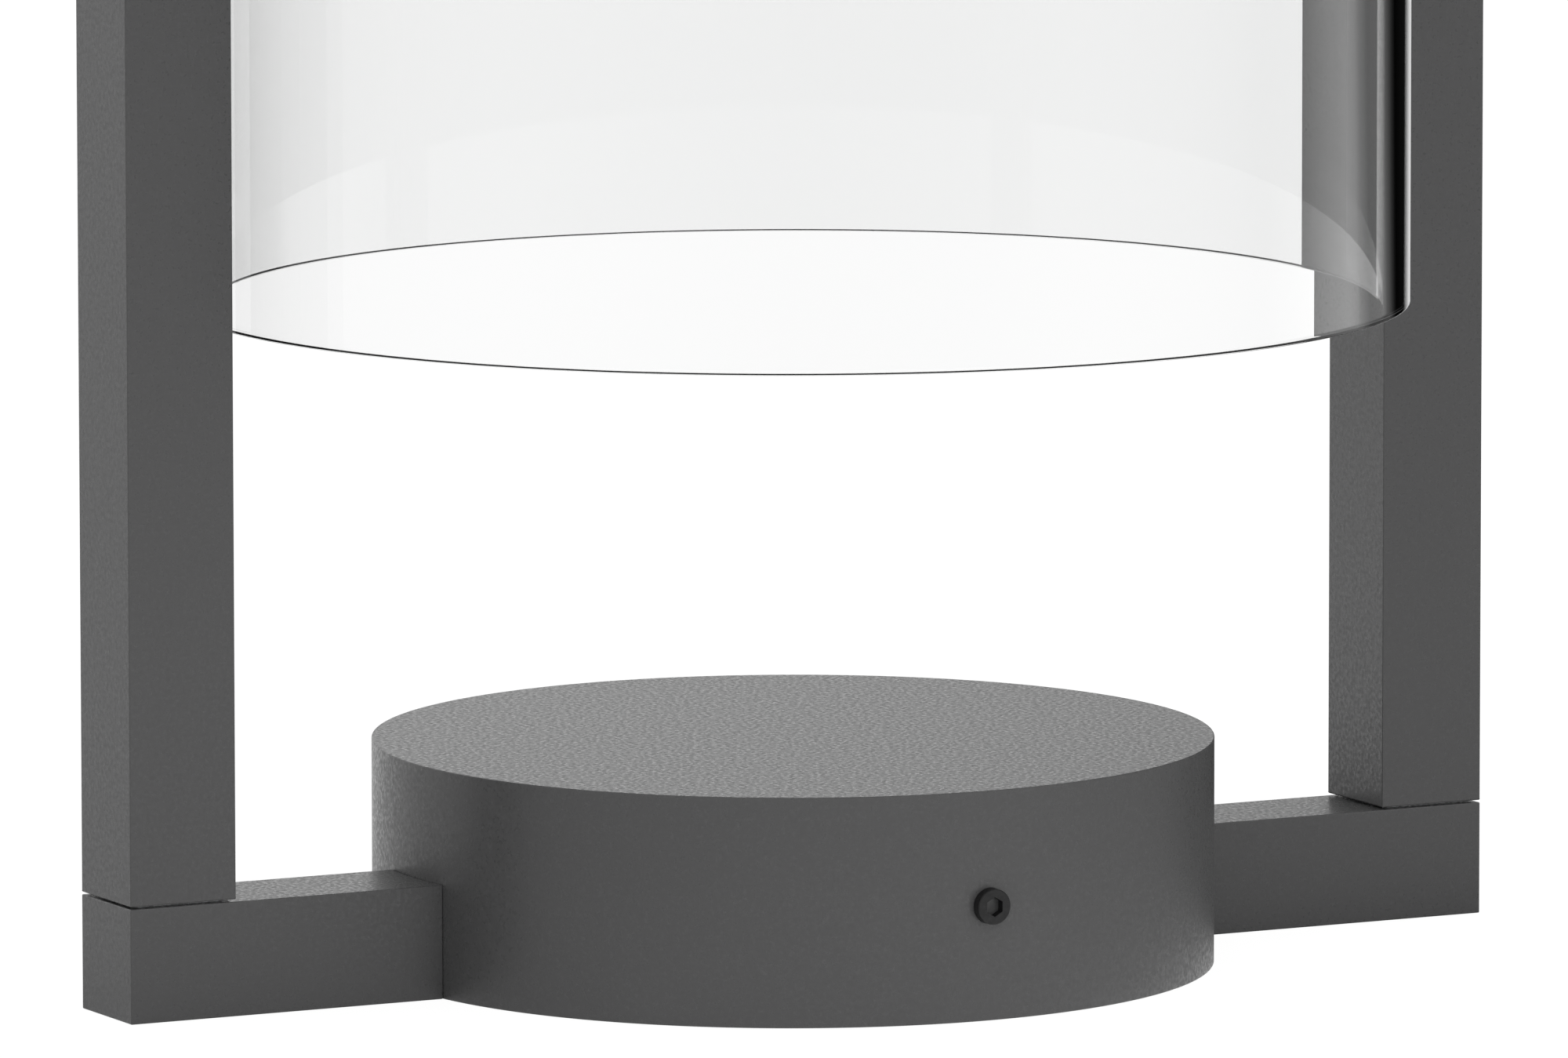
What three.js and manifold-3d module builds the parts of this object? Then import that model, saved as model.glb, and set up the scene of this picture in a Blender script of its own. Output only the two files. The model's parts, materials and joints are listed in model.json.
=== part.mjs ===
// Garden lantern: two uprights join a drum base to a drum head, and a glass cylinder hangs from the head.
// Millimetres, +Z up, X along the arms, front towards -Y, origin on the ground under the middle of the base.

import * as THREE from "three";
import { mergeVertices } from "three/addons/utils/BufferGeometryUtils.js";
import Module from "manifold-3d";

const wasm = await Module();
wasm.setup();

// Driving dimensions of the whole lantern
const frameHeight = 500;
const tubeSide = 20;
const tubeWall = 2;
const drumDiameter = 148;
const drumHeight = 40;
const drumWall = 3;
const drumTop = 3;
const glassDiameter = 216;
const glassWall = 4.5;
const glassAboveBase = 77;
const glassToUpright = 5;

// Clearances
const fitGap = 0.3;
const shadowGap = 0.4;
const headToWall = 0.5;
const leadToWall = 0.7;
const leadHoleGap = 0.8;
const overrun = 1;
const weldDistance = 1e-4;

// Facets round a full turn
const largeFacets = 60;
const mediumFacets = 32;
const holeFacets = 12;
const hiddenFacets = 8;
const arcSteps = 8;
const slotEndSteps = 6;

// Places that follow from the driving dimensions
const drumRadius = drumDiameter / 2;
const drumBore = drumRadius - drumWall;
const glassRadius = glassDiameter / 2;
const glassBore = glassRadius - glassWall;
const frameHalf = glassRadius + glassToUpright + tubeSide;
const uprightX = frameHalf - tubeSide / 2;
const tubeBore = tubeSide - 2 * tubeWall;
const headBottom = frameHeight - drumHeight;

// Fasteners: shank radius, head radius, head height, hexagon across its flats and hexagon depth
const frameScrew = { shank: 2, head: 3.5, headHeight: 2.4, hex: 2.5, hexDepth: 1.4 };
const glassScrew = { shank: 2.5, head: 4.6, headHeight: 1.9, hex: 3, hexDepth: 1.2 };
const lidScrew = { shank: 1.5, head: 2.6, headHeight: 1.6, hex: 2, hexDepth: 0.9 };
const screwChamfer = 0.4;
const screwTipPast = 1;

// Fixing screws of the base: grub screws with a cone point
const grubRadius = 3.1;
const grubProud = 1.8;
const grubChamfer = 0.15;
const grubPointRadius = 0.9;
const grubHex = 3;
const grubHexDepth = 1.8;
const grubZ = drumHeight / 2;
const bossRadius = 6;
const bossLength = 4;

// Mounting plate
const plateThickness = 4;
const plateGap = 0.8;
const lugThickness = 3;
const lugGap = 0.7;
const lugWidth = 44;
const lugRise = 8;
const dimpleDepth = 1.5;
const slotWidth = 7;
const slotLength = 18;
const slotInset = 10.8;
const slotAngles = [30, 150, 270];
const lugOuter = drumBore - bossLength - lugGap;
const lugInner = lugOuter - lugThickness;

// Leads
const leadRadius = 1.6;
const leadBend = 8;
const bendSteps = 6;
const leadSides = 8;
const leadOffset = tubeBore / 2 - leadRadius - leadToWall;
const leadHole = leadRadius + leadHoleGap;
const leadX = uprightX + leadOffset;
const leadZ = tubeSide / 2;

// Corner joints of the frame
const screwOffset = tubeBore / 2 - frameScrew.head - headToWall;
const screwHole = frameScrew.shank + fitGap;
const accessGap = 0.4;
const accessRadius = frameScrew.head + accessGap;
const uprightChamfer = 0.6;
const anchorLength = 14;
const blockLength = 16;
const blockSkin = 1.6;
const plugDepth = 5;
const plugWall = 1.2;

// Junction box on the mounting plate
const boxLength = 64;
const boxWidth = 36;
const boxWall = 2;
const boxHeadroom = 6;
const lidThickness = 3;
const postSide = 6;
const terminalToWall = 2;
const terminalToGrommet = 6;
const terminalWidth = 10;
const terminalHeight = 10;
const terminalBack = 4;
const terminalWell = 1.8;
const terminalWellDepth = 4;
const terminalPoles = 3;
const glandRadius = 3.6;
const glandNeck = 2.7;
const glandLength = 9;
const entryRadius = 10;
const grommetFlange = 2;
const grommetToWall = 4;
const grommetBore = 4.5;
const grommetLift = 0.5;
const boxFloor = plateThickness + boxWall;
const boxTop = drumHeight - drumTop - lidThickness - boxHeadroom;
const boxInside = boxLength - 2 * boxWall;
const grommetRoom = 2 * (entryRadius + grommetFlange) + grommetToWall;
const entryX = -boxInside / 2 + grommetRoom - entryRadius - grommetFlange;
const terminalLength = boxInside - grommetRoom - terminalToGrommet - terminalToWall;
const leadStartX = boxInside / 2 - terminalToWall - terminalLength / 2;

// Head: everything under the head drum, measured from the drum's open rim
const gasketThickness = 1.5;
const carrierThickness = 3;
const carrierHole = 52;
const lipGap = 1.5;
const lipThickness = 2;
const lipDrop = 8;
const spigotGap = 2;
const spigotWall = 3.5;
const spigotDrop = 30;
const carrierBossRadius = 5;
const carrierBossBite = 1;
const carrierBossHeight = 18;
const carrierScrewLength = 14;
const carrierAngles = [90, 210, 330];
const glassGasketThickness = 2;
const glassHoleDrop = 15.5;
const bushFlange = 1;
const bushFlangeRadius = 6.5;
const bushWall = 1.4;
const sinkGap = 1;
const sinkBase = 4;
const finHeight = 9.5;
const finThickness = 2;
const finPitch = 14;
const boardGap = 2;
const boardThickness = 1.6;
const chipSide = 3;
const chipHeight = 0.7;
const chipCount = 8;
const chipInset = 14;
const diffuserOverlap = 5;
const diffuserThickness = 3;
const ringWall = 2.7;
const ringLip = 3;
const driverLength = 60;
const driverWidth = 36;
const driverGap = 3;
const driverChamfer = 2;
const ledLeadRadius = 1.2;
const ledLeadInset = 3.7;
const ledLeadBend = 6;

// Finishes
const powderCoat = new THREE.MeshStandardMaterial({ color: 0x4b4c4d, roughness: 0.75, metalness: 0.15 });
const steel = new THREE.MeshStandardMaterial({ color: 0x8c8f92, roughness: 0.35, metalness: 0.9 });
const darkSteel = new THREE.MeshStandardMaterial({ color: 0x3b3c3e, roughness: 0.45, metalness: 0.6 });
const aluminium = new THREE.MeshStandardMaterial({ color: 0xb4b7ba, roughness: 0.4, metalness: 0.85 });
const clearGlass = new THREE.MeshStandardMaterial({
  color: 0xe9eeee,
  roughness: 0.03,
  metalness: 0,
  transparent: true,
  opacity: 0.35,
});
const opal = new THREE.MeshStandardMaterial({ color: 0xf2f1ec, roughness: 0.5, metalness: 0 });
const rubber = new THREE.MeshStandardMaterial({ color: 0x1b1c1d, roughness: 0.85, metalness: 0 });
const silicone = new THREE.MeshStandardMaterial({ color: 0xd9dad6, roughness: 0.6, metalness: 0 });
const blackPlastic = new THREE.MeshStandardMaterial({ color: 0x26282a, roughness: 0.55, metalness: 0 });
const greyPlastic = new THREE.MeshStandardMaterial({ color: 0x9a9d9e, roughness: 0.6, metalness: 0 });
const whitePlastic = new THREE.MeshStandardMaterial({ color: 0xe4e4df, roughness: 0.5, metalness: 0 });

// A closed geometry as a solid that can be joined and cut
function solid(geometry) {
  const bare = new THREE.BufferGeometry();
  bare.setAttribute("position", geometry.getAttribute("position").clone());
  if (geometry.index) bare.setIndex(geometry.index.clone());
  const merged = mergeVertices(bare, weldDistance);
  const mesh = new wasm.Mesh({
    numProp: 3,
    vertProperties: merged.getAttribute("position").array,
    triVerts: new Uint32Array(merged.index.array),
  });
  return new wasm.Manifold(mesh);
}

// A solid as a flat-shaded geometry
function geometryOf(body) {
  const mesh = body.getMesh();
  const geometry = new THREE.BufferGeometry();
  geometry.setAttribute("position", new THREE.BufferAttribute(mesh.vertProperties, 3));
  geometry.setIndex(new THREE.BufferAttribute(mesh.triVerts, 1));
  const flat = geometry.toNonIndexed();
  flat.computeVertexNormals();
  return flat;
}

function join(first, ...others) {
  return others.reduce((body, other) => body.add(solid(other)), solid(first));
}

function cut(body, ...tools) {
  return tools.reduce((rest, tool) => rest.subtract(solid(tool)), body);
}

// A block between two corners
function block([x0, y0, z0], [x1, y1, z1]) {
  const box = new THREE.BoxGeometry(x1 - x0, y1 - y0, z1 - z0);
  return box.translate((x0 + x1) / 2, (y0 + y1) / 2, (z0 + z1) / 2);
}

// An upright round bar from z0 to z1
function post(radius, z0, z1, facets = holeFacets) {
  const bar = new THREE.CylinderGeometry(radius, radius, z1 - z0, facets);
  return bar.rotateX(Math.PI / 2).translate(0, 0, (z0 + z1) / 2);
}

// The same bar turned to lie along X or along Y
function postAlongX(radius, x0, x1, facets = holeFacets) {
  return post(radius, x0, x1, facets).rotateY(Math.PI / 2);
}

function postAlongY(radius, y0, y1, facets = holeFacets) {
  return post(radius, -y1, -y0, facets).rotateX(Math.PI / 2);
}

// A turned piece: its outline is a list of radius and height, run anticlockwise with the axis on the left
function turned(outline, facets = mediumFacets) {
  const points = outline.map(([radius, height]) => new THREE.Vector2(radius, height));
  return new THREE.LatheGeometry(points, facets).rotateX(Math.PI / 2);
}

function ring(inner, outer, z0, z1, facets = mediumFacets) {
  const outline = [
    [inner, z0],
    [outer, z0],
    [outer, z1],
    [inner, z1],
    [inner, z0],
  ];
  return turned(outline, facets);
}

function hexagonBar(acrossFlats, z0, z1) {
  return post(acrossFlats / Math.sqrt(3), z0, z1, 6);
}

// A socket screw on the Z axis: the head lies below 0 and the shank rises from it
function screw(kind, length) {
  const roundShare = 0.35;
  const flatShare = 0.75;
  const outline = [
    [0, -kind.headHeight],
    [kind.head * flatShare, -kind.headHeight],
    [kind.head, -kind.headHeight * roundShare],
    [kind.head, 0],
    [kind.shank, 0],
    [kind.shank, length - screwChamfer],
    [kind.shank - screwChamfer, length],
    [0, length],
  ];
  const socket = hexagonBar(kind.hex, -kind.headHeight - overrun, kind.hexDepth - kind.headHeight);
  return geometryOf(cut(solid(turned(outline, hiddenFacets)), socket));
}

// A tube round straight runs whose square corners are rounded, with rings only where it bends
class RoundedRoute extends THREE.Curve {
  constructor(corners, radii) {
    super();
    this.points = [corners[0]];
    for (let i = 1; i < corners.length - 1; i += 1) {
      const before = corners[i].clone().sub(corners[i - 1]).normalize();
      const after = corners[i + 1].clone().sub(corners[i]).normalize();
      const radius = radii[i - 1];
      const centre = corners[i].clone().addScaledVector(before, -radius).addScaledVector(after, radius);
      for (let step = 0; step <= bendSteps; step += 1) {
        const angle = (step / bendSteps) * (Math.PI / 2);
        const point = centre.clone().addScaledVector(after, -radius * Math.cos(angle));
        this.points.push(point.addScaledVector(before, radius * Math.sin(angle)));
      }
    }
    this.points.push(corners[corners.length - 1]);
  }

  getPoint(share, target = new THREE.Vector3()) {
    const place = share * (this.points.length - 1);
    const index = Math.min(Math.floor(place), this.points.length - 2);
    return target.lerpVectors(this.points[index], this.points[index + 1], place - index);
  }

  getUtoTmapping(share) {
    return share;
  }
}

function leadAlong(corners, radii, radius) {
  const route = new RoundedRoute(corners, radii);
  const section = new THREE.Shape();
  for (let side = 0; side < leadSides; side += 1) {
    const angle = (side / leadSides) * 2 * Math.PI;
    const place = [radius * Math.cos(angle), radius * Math.sin(angle)];
    if (side === 0) section.moveTo(...place);
    else section.lineTo(...place);
  }
  return new THREE.ExtrudeGeometry(section, {
    steps: route.points.length - 1,
    extrudePath: route,
    bevelEnabled: false,
  });
}

// Frame pieces, drawn at the right-hand end of the base

function armGeometry(carriesLead) {
  const half = tubeSide / 2;
  const start = drumRadius - half;
  const bar = solid(block([start, -half, 0], [frameHalf, half, tubeSide]));
  const bore = block(
    [start - overrun, -tubeBore / 2, tubeWall],
    [frameHalf - tubeWall, tubeBore / 2, tubeSide - tubeWall],
  );
  const cope = post(drumRadius + fitGap, -overrun, tubeSide + overrun, largeFacets);
  const access = post(accessRadius, -overrun, tubeWall + overrun).translate(uprightX, -screwOffset, 0);
  const screwPassage = post(screwHole, tubeSide - tubeWall - overrun, tubeSide + overrun);
  const holes = [access, screwPassage.translate(uprightX, -screwOffset, 0)];
  if (carriesLead) {
    const leadPassage = post(leadHole, tubeSide - tubeWall - overrun, tubeSide + overrun);
    holes.push(leadPassage.translate(leadX, leadOffset, 0));
  }
  return geometryOf(cut(bar, bore, cope, ...holes));
}

function anchorGeometry() {
  const half = tubeBore / 2 - fitGap;
  const start = drumRadius - tubeSide / 2;
  const end = drumRadius + anchorLength;
  const body = solid(block([start, -half, leadZ - half], [end, half, leadZ + half]));
  const cope = post(drumRadius + fitGap, -overrun, tubeSide + overrun, largeFacets);
  const thread = postAlongX(screwHole, start - overrun, end + overrun).translate(0, -screwOffset, leadZ);
  const notch = block(
    [start - overrun, leadOffset - leadHole, leadZ - leadHole],
    [end + overrun, half + overrun, leadZ + leadHole],
  );
  return geometryOf(cut(body, cope, thread, notch));
}

const anchorSeat = Math.sqrt(drumBore ** 2 - (screwOffset + frameScrew.head) ** 2) - fitGap;

function anchorScrewGeometry() {
  const length = drumRadius + anchorLength - screwTipPast - anchorSeat;
  return screw(frameScrew, length).rotateY(Math.PI / 2);
}

// The block fills the screw's half of the tube and leaves the other half open
function cornerBlockGeometry() {
  const half = tubeBore / 2 - fitGap;
  const back = screwHole + blockSkin - screwOffset;
  const top = tubeSide + blockLength;
  const body = solid(block([uprightX - half, -half, tubeSide], [uprightX + half, back, top]));
  const thread = post(screwHole, tubeSide - overrun, top + overrun).translate(uprightX, -screwOffset, 0);
  return geometryOf(cut(body, thread));
}

function cornerScrewGeometry() {
  return screw(frameScrew, tubeWall + blockLength - screwTipPast);
}

function plugGeometry() {
  const outer = accessRadius - fitGap;
  const inner = outer - plugWall;
  const outline = [
    [0, 0],
    [outer - screwChamfer, 0],
    [outer, screwChamfer],
    [outer, plugDepth],
    [inner, plugDepth],
    [inner, plugWall],
    [0, plugWall],
  ];
  return turned(outline, holeFacets);
}

function uprightGeometry() {
  const half = tubeSide / 2;
  const z0 = tubeSide + shadowGap;
  const z1 = frameHeight - tubeSide - shadowGap;
  const face = new THREE.Shape();
  const inset = half - uprightChamfer;
  face.moveTo(-inset, -inset);
  face.lineTo(inset, -inset);
  face.lineTo(inset, inset);
  face.lineTo(-inset, inset);
  const bar = new THREE.ExtrudeGeometry(face, {
    depth: z1 - z0 - 2 * uprightChamfer,
    bevelSize: uprightChamfer,
    bevelThickness: uprightChamfer,
    bevelSegments: 1,
  });
  const boreHalf = tubeBore / 2;
  const bore = block([-boreHalf, -boreHalf, z0 - overrun], [boreHalf, boreHalf, z1 + overrun]);
  return geometryOf(cut(solid(bar.translate(0, 0, z0 + uprightChamfer)), bore));
}

// Drums: a shell that is closed on top and open below

function drumShell(extras) {
  const hollow = post(drumBore, -overrun, drumHeight - drumTop, largeFacets);
  const shell = cut(solid(post(drumRadius, 0, drumHeight, largeFacets)), hollow);
  return extras.reduce((body, extra) => body.add(solid(extra)), shell);
}

function armHoles(z) {
  const inside = drumBore - drumWall;
  const outside = drumRadius + overrun;
  const holes = [-1, 1].map((side) => {
    const [x0, x1] = side > 0 ? [inside, outside] : [-outside, -inside];
    return postAlongX(screwHole, x0, x1).translate(0, -screwOffset, z);
  });
  return [...holes, postAlongX(leadHole, inside, outside).translate(0, leadOffset, z)];
}

function baseDrumGeometry() {
  const inside = drumBore - bossLength;
  const bite = drumBore + drumWall / 2;
  const bosses = [
    postAlongY(bossRadius, -bite, -inside).translate(0, 0, grubZ),
    postAlongY(bossRadius, inside, bite).translate(0, 0, grubZ),
  ];
  const threads = [
    postAlongY(grubRadius + fitGap, -drumRadius - overrun, -inside + overrun).translate(0, 0, grubZ),
    postAlongY(grubRadius + fitGap, inside - overrun, drumRadius + overrun).translate(0, 0, grubZ),
  ];
  return geometryOf(cut(drumShell(bosses), ...threads, ...armHoles(leadZ)));
}

const carrierScrewCircle = drumBore - carrierBossRadius + carrierBossBite;

// One tool for each carrier screw, moved out to its place on the screw circle
function onScrewCircle(makeTool) {
  return carrierAngles.map((angle) =>
    makeTool().translate(carrierScrewCircle, 0, 0).rotateZ(THREE.MathUtils.degToRad(angle)),
  );
}

function headDrumGeometry() {
  const bosses = onScrewCircle(() => post(carrierBossRadius, 0, carrierBossHeight));
  const threads = onScrewCircle(() => post(screwHole, -overrun, carrierBossHeight - screwTipPast));
  return geometryOf(cut(drumShell(bosses), ...threads, ...armHoles(drumHeight - leadZ)));
}

// Mounting plate with two lugs that take the points of the fixing screws

function arcWall(inner, outer, width, z0, z1) {
  const halfAngle = width / 2 / outer;
  const face = new THREE.Shape();
  face.absarc(0, 0, outer, -halfAngle, halfAngle, false);
  face.absarc(0, 0, inner, halfAngle, -halfAngle, true);
  const options = { depth: z1 - z0, bevelEnabled: false, curveSegments: arcSteps };
  return new THREE.ExtrudeGeometry(face, options).translate(0, 0, z0);
}

function slotTool() {
  const radius = slotWidth / 2;
  const reach = slotLength / 2 - radius;
  const face = new THREE.Shape();
  face.absarc(0, reach, radius, 0, Math.PI, false);
  face.absarc(0, -reach, radius, Math.PI, 2 * Math.PI, false);
  const options = { depth: plateThickness + 2 * overrun, bevelEnabled: false, curveSegments: slotEndSteps };
  return new THREE.ExtrudeGeometry(face, options).translate(lugInner - slotInset, 0, -overrun);
}

// The dimple is the screw's cone point, larger by the fit all round
function dimpleTool() {
  const length = dimpleDepth + overrun;
  const bottom = grubPointRadius + fitGap;
  const cone = new THREE.CylinderGeometry(bottom + length, bottom, length + fitGap, holeFacets);
  const middle = lugOuter + overrun / 2 - dimpleDepth / 2 - fitGap / 2;
  return cone.rotateZ(-Math.PI / 2).translate(middle, 0, grubZ);
}

function mountingPlateGeometry() {
  const plate = post(drumBore - plateGap, 0, plateThickness, largeFacets);
  const quarterTurns = [-Math.PI / 2, Math.PI / 2];
  const lugs = quarterTurns.map((turn) =>
    arcWall(lugInner, lugOuter, lugWidth, plateThickness / 2, grubZ + lugRise).rotateZ(turn),
  );
  const dimples = quarterTurns.map((turn) => dimpleTool().rotateZ(turn));
  const slots = slotAngles.map((angle) => slotTool().rotateZ(THREE.MathUtils.degToRad(angle)));
  const entry = post(entryRadius, -overrun, plateThickness + overrun, mediumFacets).translate(entryX, 0, 0);
  return geometryOf(cut(join(plate, ...lugs), ...dimples, ...slots, entry));
}

function grubScrewGeometry() {
  const length = grubProud + drumWall + bossLength + lugGap + dimpleDepth;
  const coneLength = grubRadius - grubPointRadius;
  const outline = [
    [0, 0],
    [grubRadius - grubChamfer, 0],
    [grubRadius, grubChamfer],
    [grubRadius, length - coneLength],
    [grubPointRadius, length],
    [0, length],
  ];
  return geometryOf(cut(solid(turned(outline, mediumFacets)), hexagonBar(grubHex, -overrun, grubHexDepth)));
}

// Junction box, its lid and what it holds


function boxPosts() {
  const x = boxLength / 2 - boxWall;
  const y = boxWidth / 2 - boxWall;
  const bite = boxWall / 2;
  return [
    block([-x - bite, y - postSide, boxFloor - bite], [postSide - x, y + bite, boxTop]),
    block([x - postSide, -y - bite, boxFloor - bite], [x + bite, postSide - y, boxTop]),
  ];
}

const lidScrewX = boxLength / 2 - boxWall - postSide / 2;
const lidScrewY = boxWidth / 2 - boxWall - postSide / 2;
const lidScrewPlaces = [
  [-lidScrewX, lidScrewY],
  [lidScrewX, -lidScrewY],
];

function junctionBoxGeometry() {
  const x = boxLength / 2;
  const y = boxWidth / 2;
  const shell = cut(
    solid(block([-x, -y, plateThickness], [x, y, boxTop])),
    block([boxWall - x, boxWall - y, boxFloor], [x - boxWall, y - boxWall, boxTop + overrun]),
  );
  const body = boxPosts().reduce((rest, pillar) => rest.add(solid(pillar)), shell);
  const threads = lidScrewPlaces.map(([px, py]) => {
    const thread = post(lidScrew.shank + fitGap, boxFloor + boxWall, boxTop + overrun, hiddenFacets);
    return thread.translate(px, py, 0);
  });
  const entry = post(entryRadius, 0, boxFloor + overrun, mediumFacets).translate(entryX, 0, 0);
  const outlet = postAlongY(glandNeck + fitGap, y - boxWall - overrun, y + overrun);
  return geometryOf(cut(body, ...threads, entry, outlet.translate(leadStartX, 0, leadZ)));
}

function junctionLidGeometry() {
  const x = boxLength / 2;
  const y = boxWidth / 2;
  const lid = solid(block([-x, -y, boxTop], [x, y, boxTop + lidThickness]));
  const holes = lidScrewPlaces.map(([px, py]) => {
    const lidTop = boxTop + lidThickness;
    const hole = post(lidScrew.shank + fitGap, boxTop - overrun, lidTop + overrun, hiddenFacets);
    return hole.translate(px, py, 0);
  });
  return geometryOf(cut(lid, ...holes));
}

function terminalBlockGeometry() {
  const x0 = leadStartX - terminalLength / 2;
  const top = boxFloor + terminalHeight;
  const y0 = terminalBack - terminalWidth;
  const body = solid(block([x0, y0, boxFloor], [x0 + terminalLength, terminalBack, top]));
  const pitch = terminalLength / terminalPoles;
  const wells = Array.from({ length: terminalPoles }, (_, pole) => {
    const x = x0 + pole * pitch + pitch / 2;
    const well = post(terminalWell, top - terminalWellDepth, top + overrun, hiddenFacets);
    return well.translate(x, (y0 + terminalBack) / 2, 0);
  });
  return geometryOf(cut(body, ...wells));
}

function grommetGeometry() {
  const neck = entryRadius - fitGap;
  const flange = entryRadius + grommetFlange;
  const outline = [
    [grommetBore, grommetLift],
    [neck, grommetLift],
    [neck, boxFloor],
    [flange, boxFloor],
    [flange, boxFloor + grommetFlange],
    [grommetBore, boxFloor + grommetFlange],
    [grommetBore, grommetLift],
  ];
  return turned(outline, mediumFacets);
}

function glandGeometry() {
  const bore = leadRadius + fitGap;
  const outline = [
    [bore, -boxWall],
    [glandNeck, -boxWall],
    [glandNeck, 0],
    [glandRadius, 0],
    [glandRadius, glandLength / 2],
    [glandNeck, glandLength],
    [bore, glandLength],
    [bore, -boxWall],
  ];
  return turned(outline, holeFacets).rotateX(-Math.PI / 2);
}

// Head: carrier disc, light unit and glass, with heights measured from the head drum's open rim

const carrierTop = -gasketThickness;
const carrierUnder = carrierTop - carrierThickness;
const glassTop = carrierUnder - glassGasketThickness;
const spigotRadius = glassBore - spigotGap;
const lipInner = glassRadius + lipGap;
const lipOuter = lipInner + lipThickness;
const glassScrewZ = glassTop - glassHoleDrop;
const bushBore = glassScrew.shank + fitGap;
const bushNeck = bushBore + bushWall;
const glassHole = bushNeck + fitGap;
const bushInnerFace = Math.sqrt(glassBore ** 2 - bushFlangeRadius ** 2) - fitGap / 2;
const glassScrewSeat = glassRadius + 2 * fitGap + bushFlange;
const ringInner = carrierHole;
const diffuserRadius = carrierHole + diffuserOverlap;
const ringOuter = diffuserRadius + fitGap + ringWall;
const carrierScrewInner = carrierScrewCircle - carrierBossRadius;
const sinkRadius = carrierScrewInner - fitGap - 2 * sinkGap;
const boardRadius = carrierHole - boardGap;
const sinkTop = carrierTop + sinkBase;
const driverBottom = sinkTop + finHeight + driverGap;
const driverTop = drumHeight - drumTop;
const ledLeadX = -(boardRadius - ledLeadInset);
const ledLeadZ = (driverBottom + driverTop) / 2;

function radialHoles(radius, inside, outside) {
  return carrierAngles.map((angle) => {
    const hole = postAlongX(radius, inside, outside).translate(0, 0, glassScrewZ);
    return hole.rotateZ(THREE.MathUtils.degToRad(angle));
  });
}

function carrierGeometry() {
  const outline = [
    [carrierHole, carrierUnder],
    [spigotRadius - spigotWall, carrierUnder],
    [spigotRadius - spigotWall, carrierUnder - spigotDrop],
    [spigotRadius, carrierUnder - spigotDrop],
    [spigotRadius, carrierUnder],
    [lipInner, carrierUnder],
    [lipInner, carrierUnder - lipDrop],
    [lipOuter, carrierUnder - lipDrop],
    [lipOuter, carrierTop - lipThickness],
    [lipInner, carrierTop],
    [carrierHole, carrierTop],
    [carrierHole, carrierUnder],
  ];
  const body = solid(turned(outline, largeFacets));
  const threads = radialHoles(bushBore, spigotRadius - spigotWall - overrun, spigotRadius + overrun);
  const holes = onScrewCircle(() => post(screwHole, carrierUnder - overrun, carrierTop + overrun));
  return geometryOf(cut(body, ...threads, ...holes));
}

function carrierGasketGeometry() {
  const body = solid(ring(sinkRadius + sinkGap, drumRadius - fitGap, carrierTop, 0));
  return geometryOf(cut(body, ...onScrewCircle(() => post(screwHole, carrierTop - overrun, overrun))));
}

function glassGeometry() {
  const bottom = drumHeight + glassAboveBase - headBottom;
  const body = solid(ring(glassBore, glassRadius, bottom, glassTop, largeFacets));
  return geometryOf(cut(body, ...radialHoles(glassHole, glassBore - glassWall, glassRadius + overrun)));
}

// The bush is drawn along X, where the glass wall stands
function bushGeometry() {
  const outline = [
    [bushBore, bushInnerFace - bushFlange],
    [bushFlangeRadius, bushInnerFace - bushFlange],
    [bushFlangeRadius, bushInnerFace],
    [bushNeck, bushInnerFace],
    [bushNeck, glassRadius + fitGap],
    [bushFlangeRadius, glassRadius + fitGap],
    [bushFlangeRadius, glassRadius + fitGap + bushFlange],
    [bushBore, glassRadius + fitGap + bushFlange],
    [bushBore, bushInnerFace - bushFlange],
  ];
  return turned(outline, holeFacets).rotateY(Math.PI / 2);
}

function glassScrewGeometry() {
  const length = glassScrewSeat - (spigotRadius - spigotWall - screwTipPast);
  return screw(glassScrew, length).rotateY(-Math.PI / 2);
}

function heatSinkGeometry() {
  const base = post(sinkRadius, carrierTop, sinkTop, mediumFacets);
  const fins = [];
  for (let y = finPitch / 2; y < sinkRadius - finThickness; y += finPitch) {
    const reach = Math.sqrt(sinkRadius ** 2 - (y + finThickness / 2) ** 2) - finThickness;
    const [z0, z1] = [sinkTop - finThickness / 2, sinkTop + finHeight];
    for (const middle of [-y, y]) {
      fins.push(block([-reach, middle - finThickness / 2, z0], [reach, middle + finThickness / 2, z1]));
    }
  }
  const wireHole = post(ledLeadRadius + leadHoleGap, carrierTop - overrun, sinkTop + overrun);
  return geometryOf(cut(join(base, ...fins), wireHole.translate(ledLeadX, 0, 0)));
}

function ledBoardGeometry() {
  const bottom = carrierTop - boardThickness;
  const board = post(boardRadius, bottom, carrierTop, mediumFacets);
  const chips = Array.from({ length: chipCount }, (_, index) => {
    const chip = block(
      [-chipSide / 2, -chipSide / 2, bottom - chipHeight],
      [chipSide / 2, chipSide / 2, bottom + chipHeight],
    );
    return chip.translate(boardRadius - chipInset, 0, 0).rotateZ((index / chipCount) * 2 * Math.PI);
  });
  return geometryOf(join(board, ...chips));
}

function diffuserGeometry() {
  return post(diffuserRadius, carrierUnder - diffuserThickness, carrierUnder, mediumFacets);
}

function diffuserRingGeometry() {
  const shelf = carrierUnder - diffuserThickness - fitGap;
  const outline = [
    [ringInner, shelf],
    [ringInner + ringLip / 2, shelf - ringLip],
    [ringOuter - ringLip / 2, shelf - ringLip],
    [ringOuter, shelf - ringLip / 2],
    [ringOuter, carrierUnder],
    [diffuserRadius + fitGap, carrierUnder],
    [diffuserRadius + fitGap, shelf],
    [ringInner, shelf],
  ];
  return turned(outline, mediumFacets);
}

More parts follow.
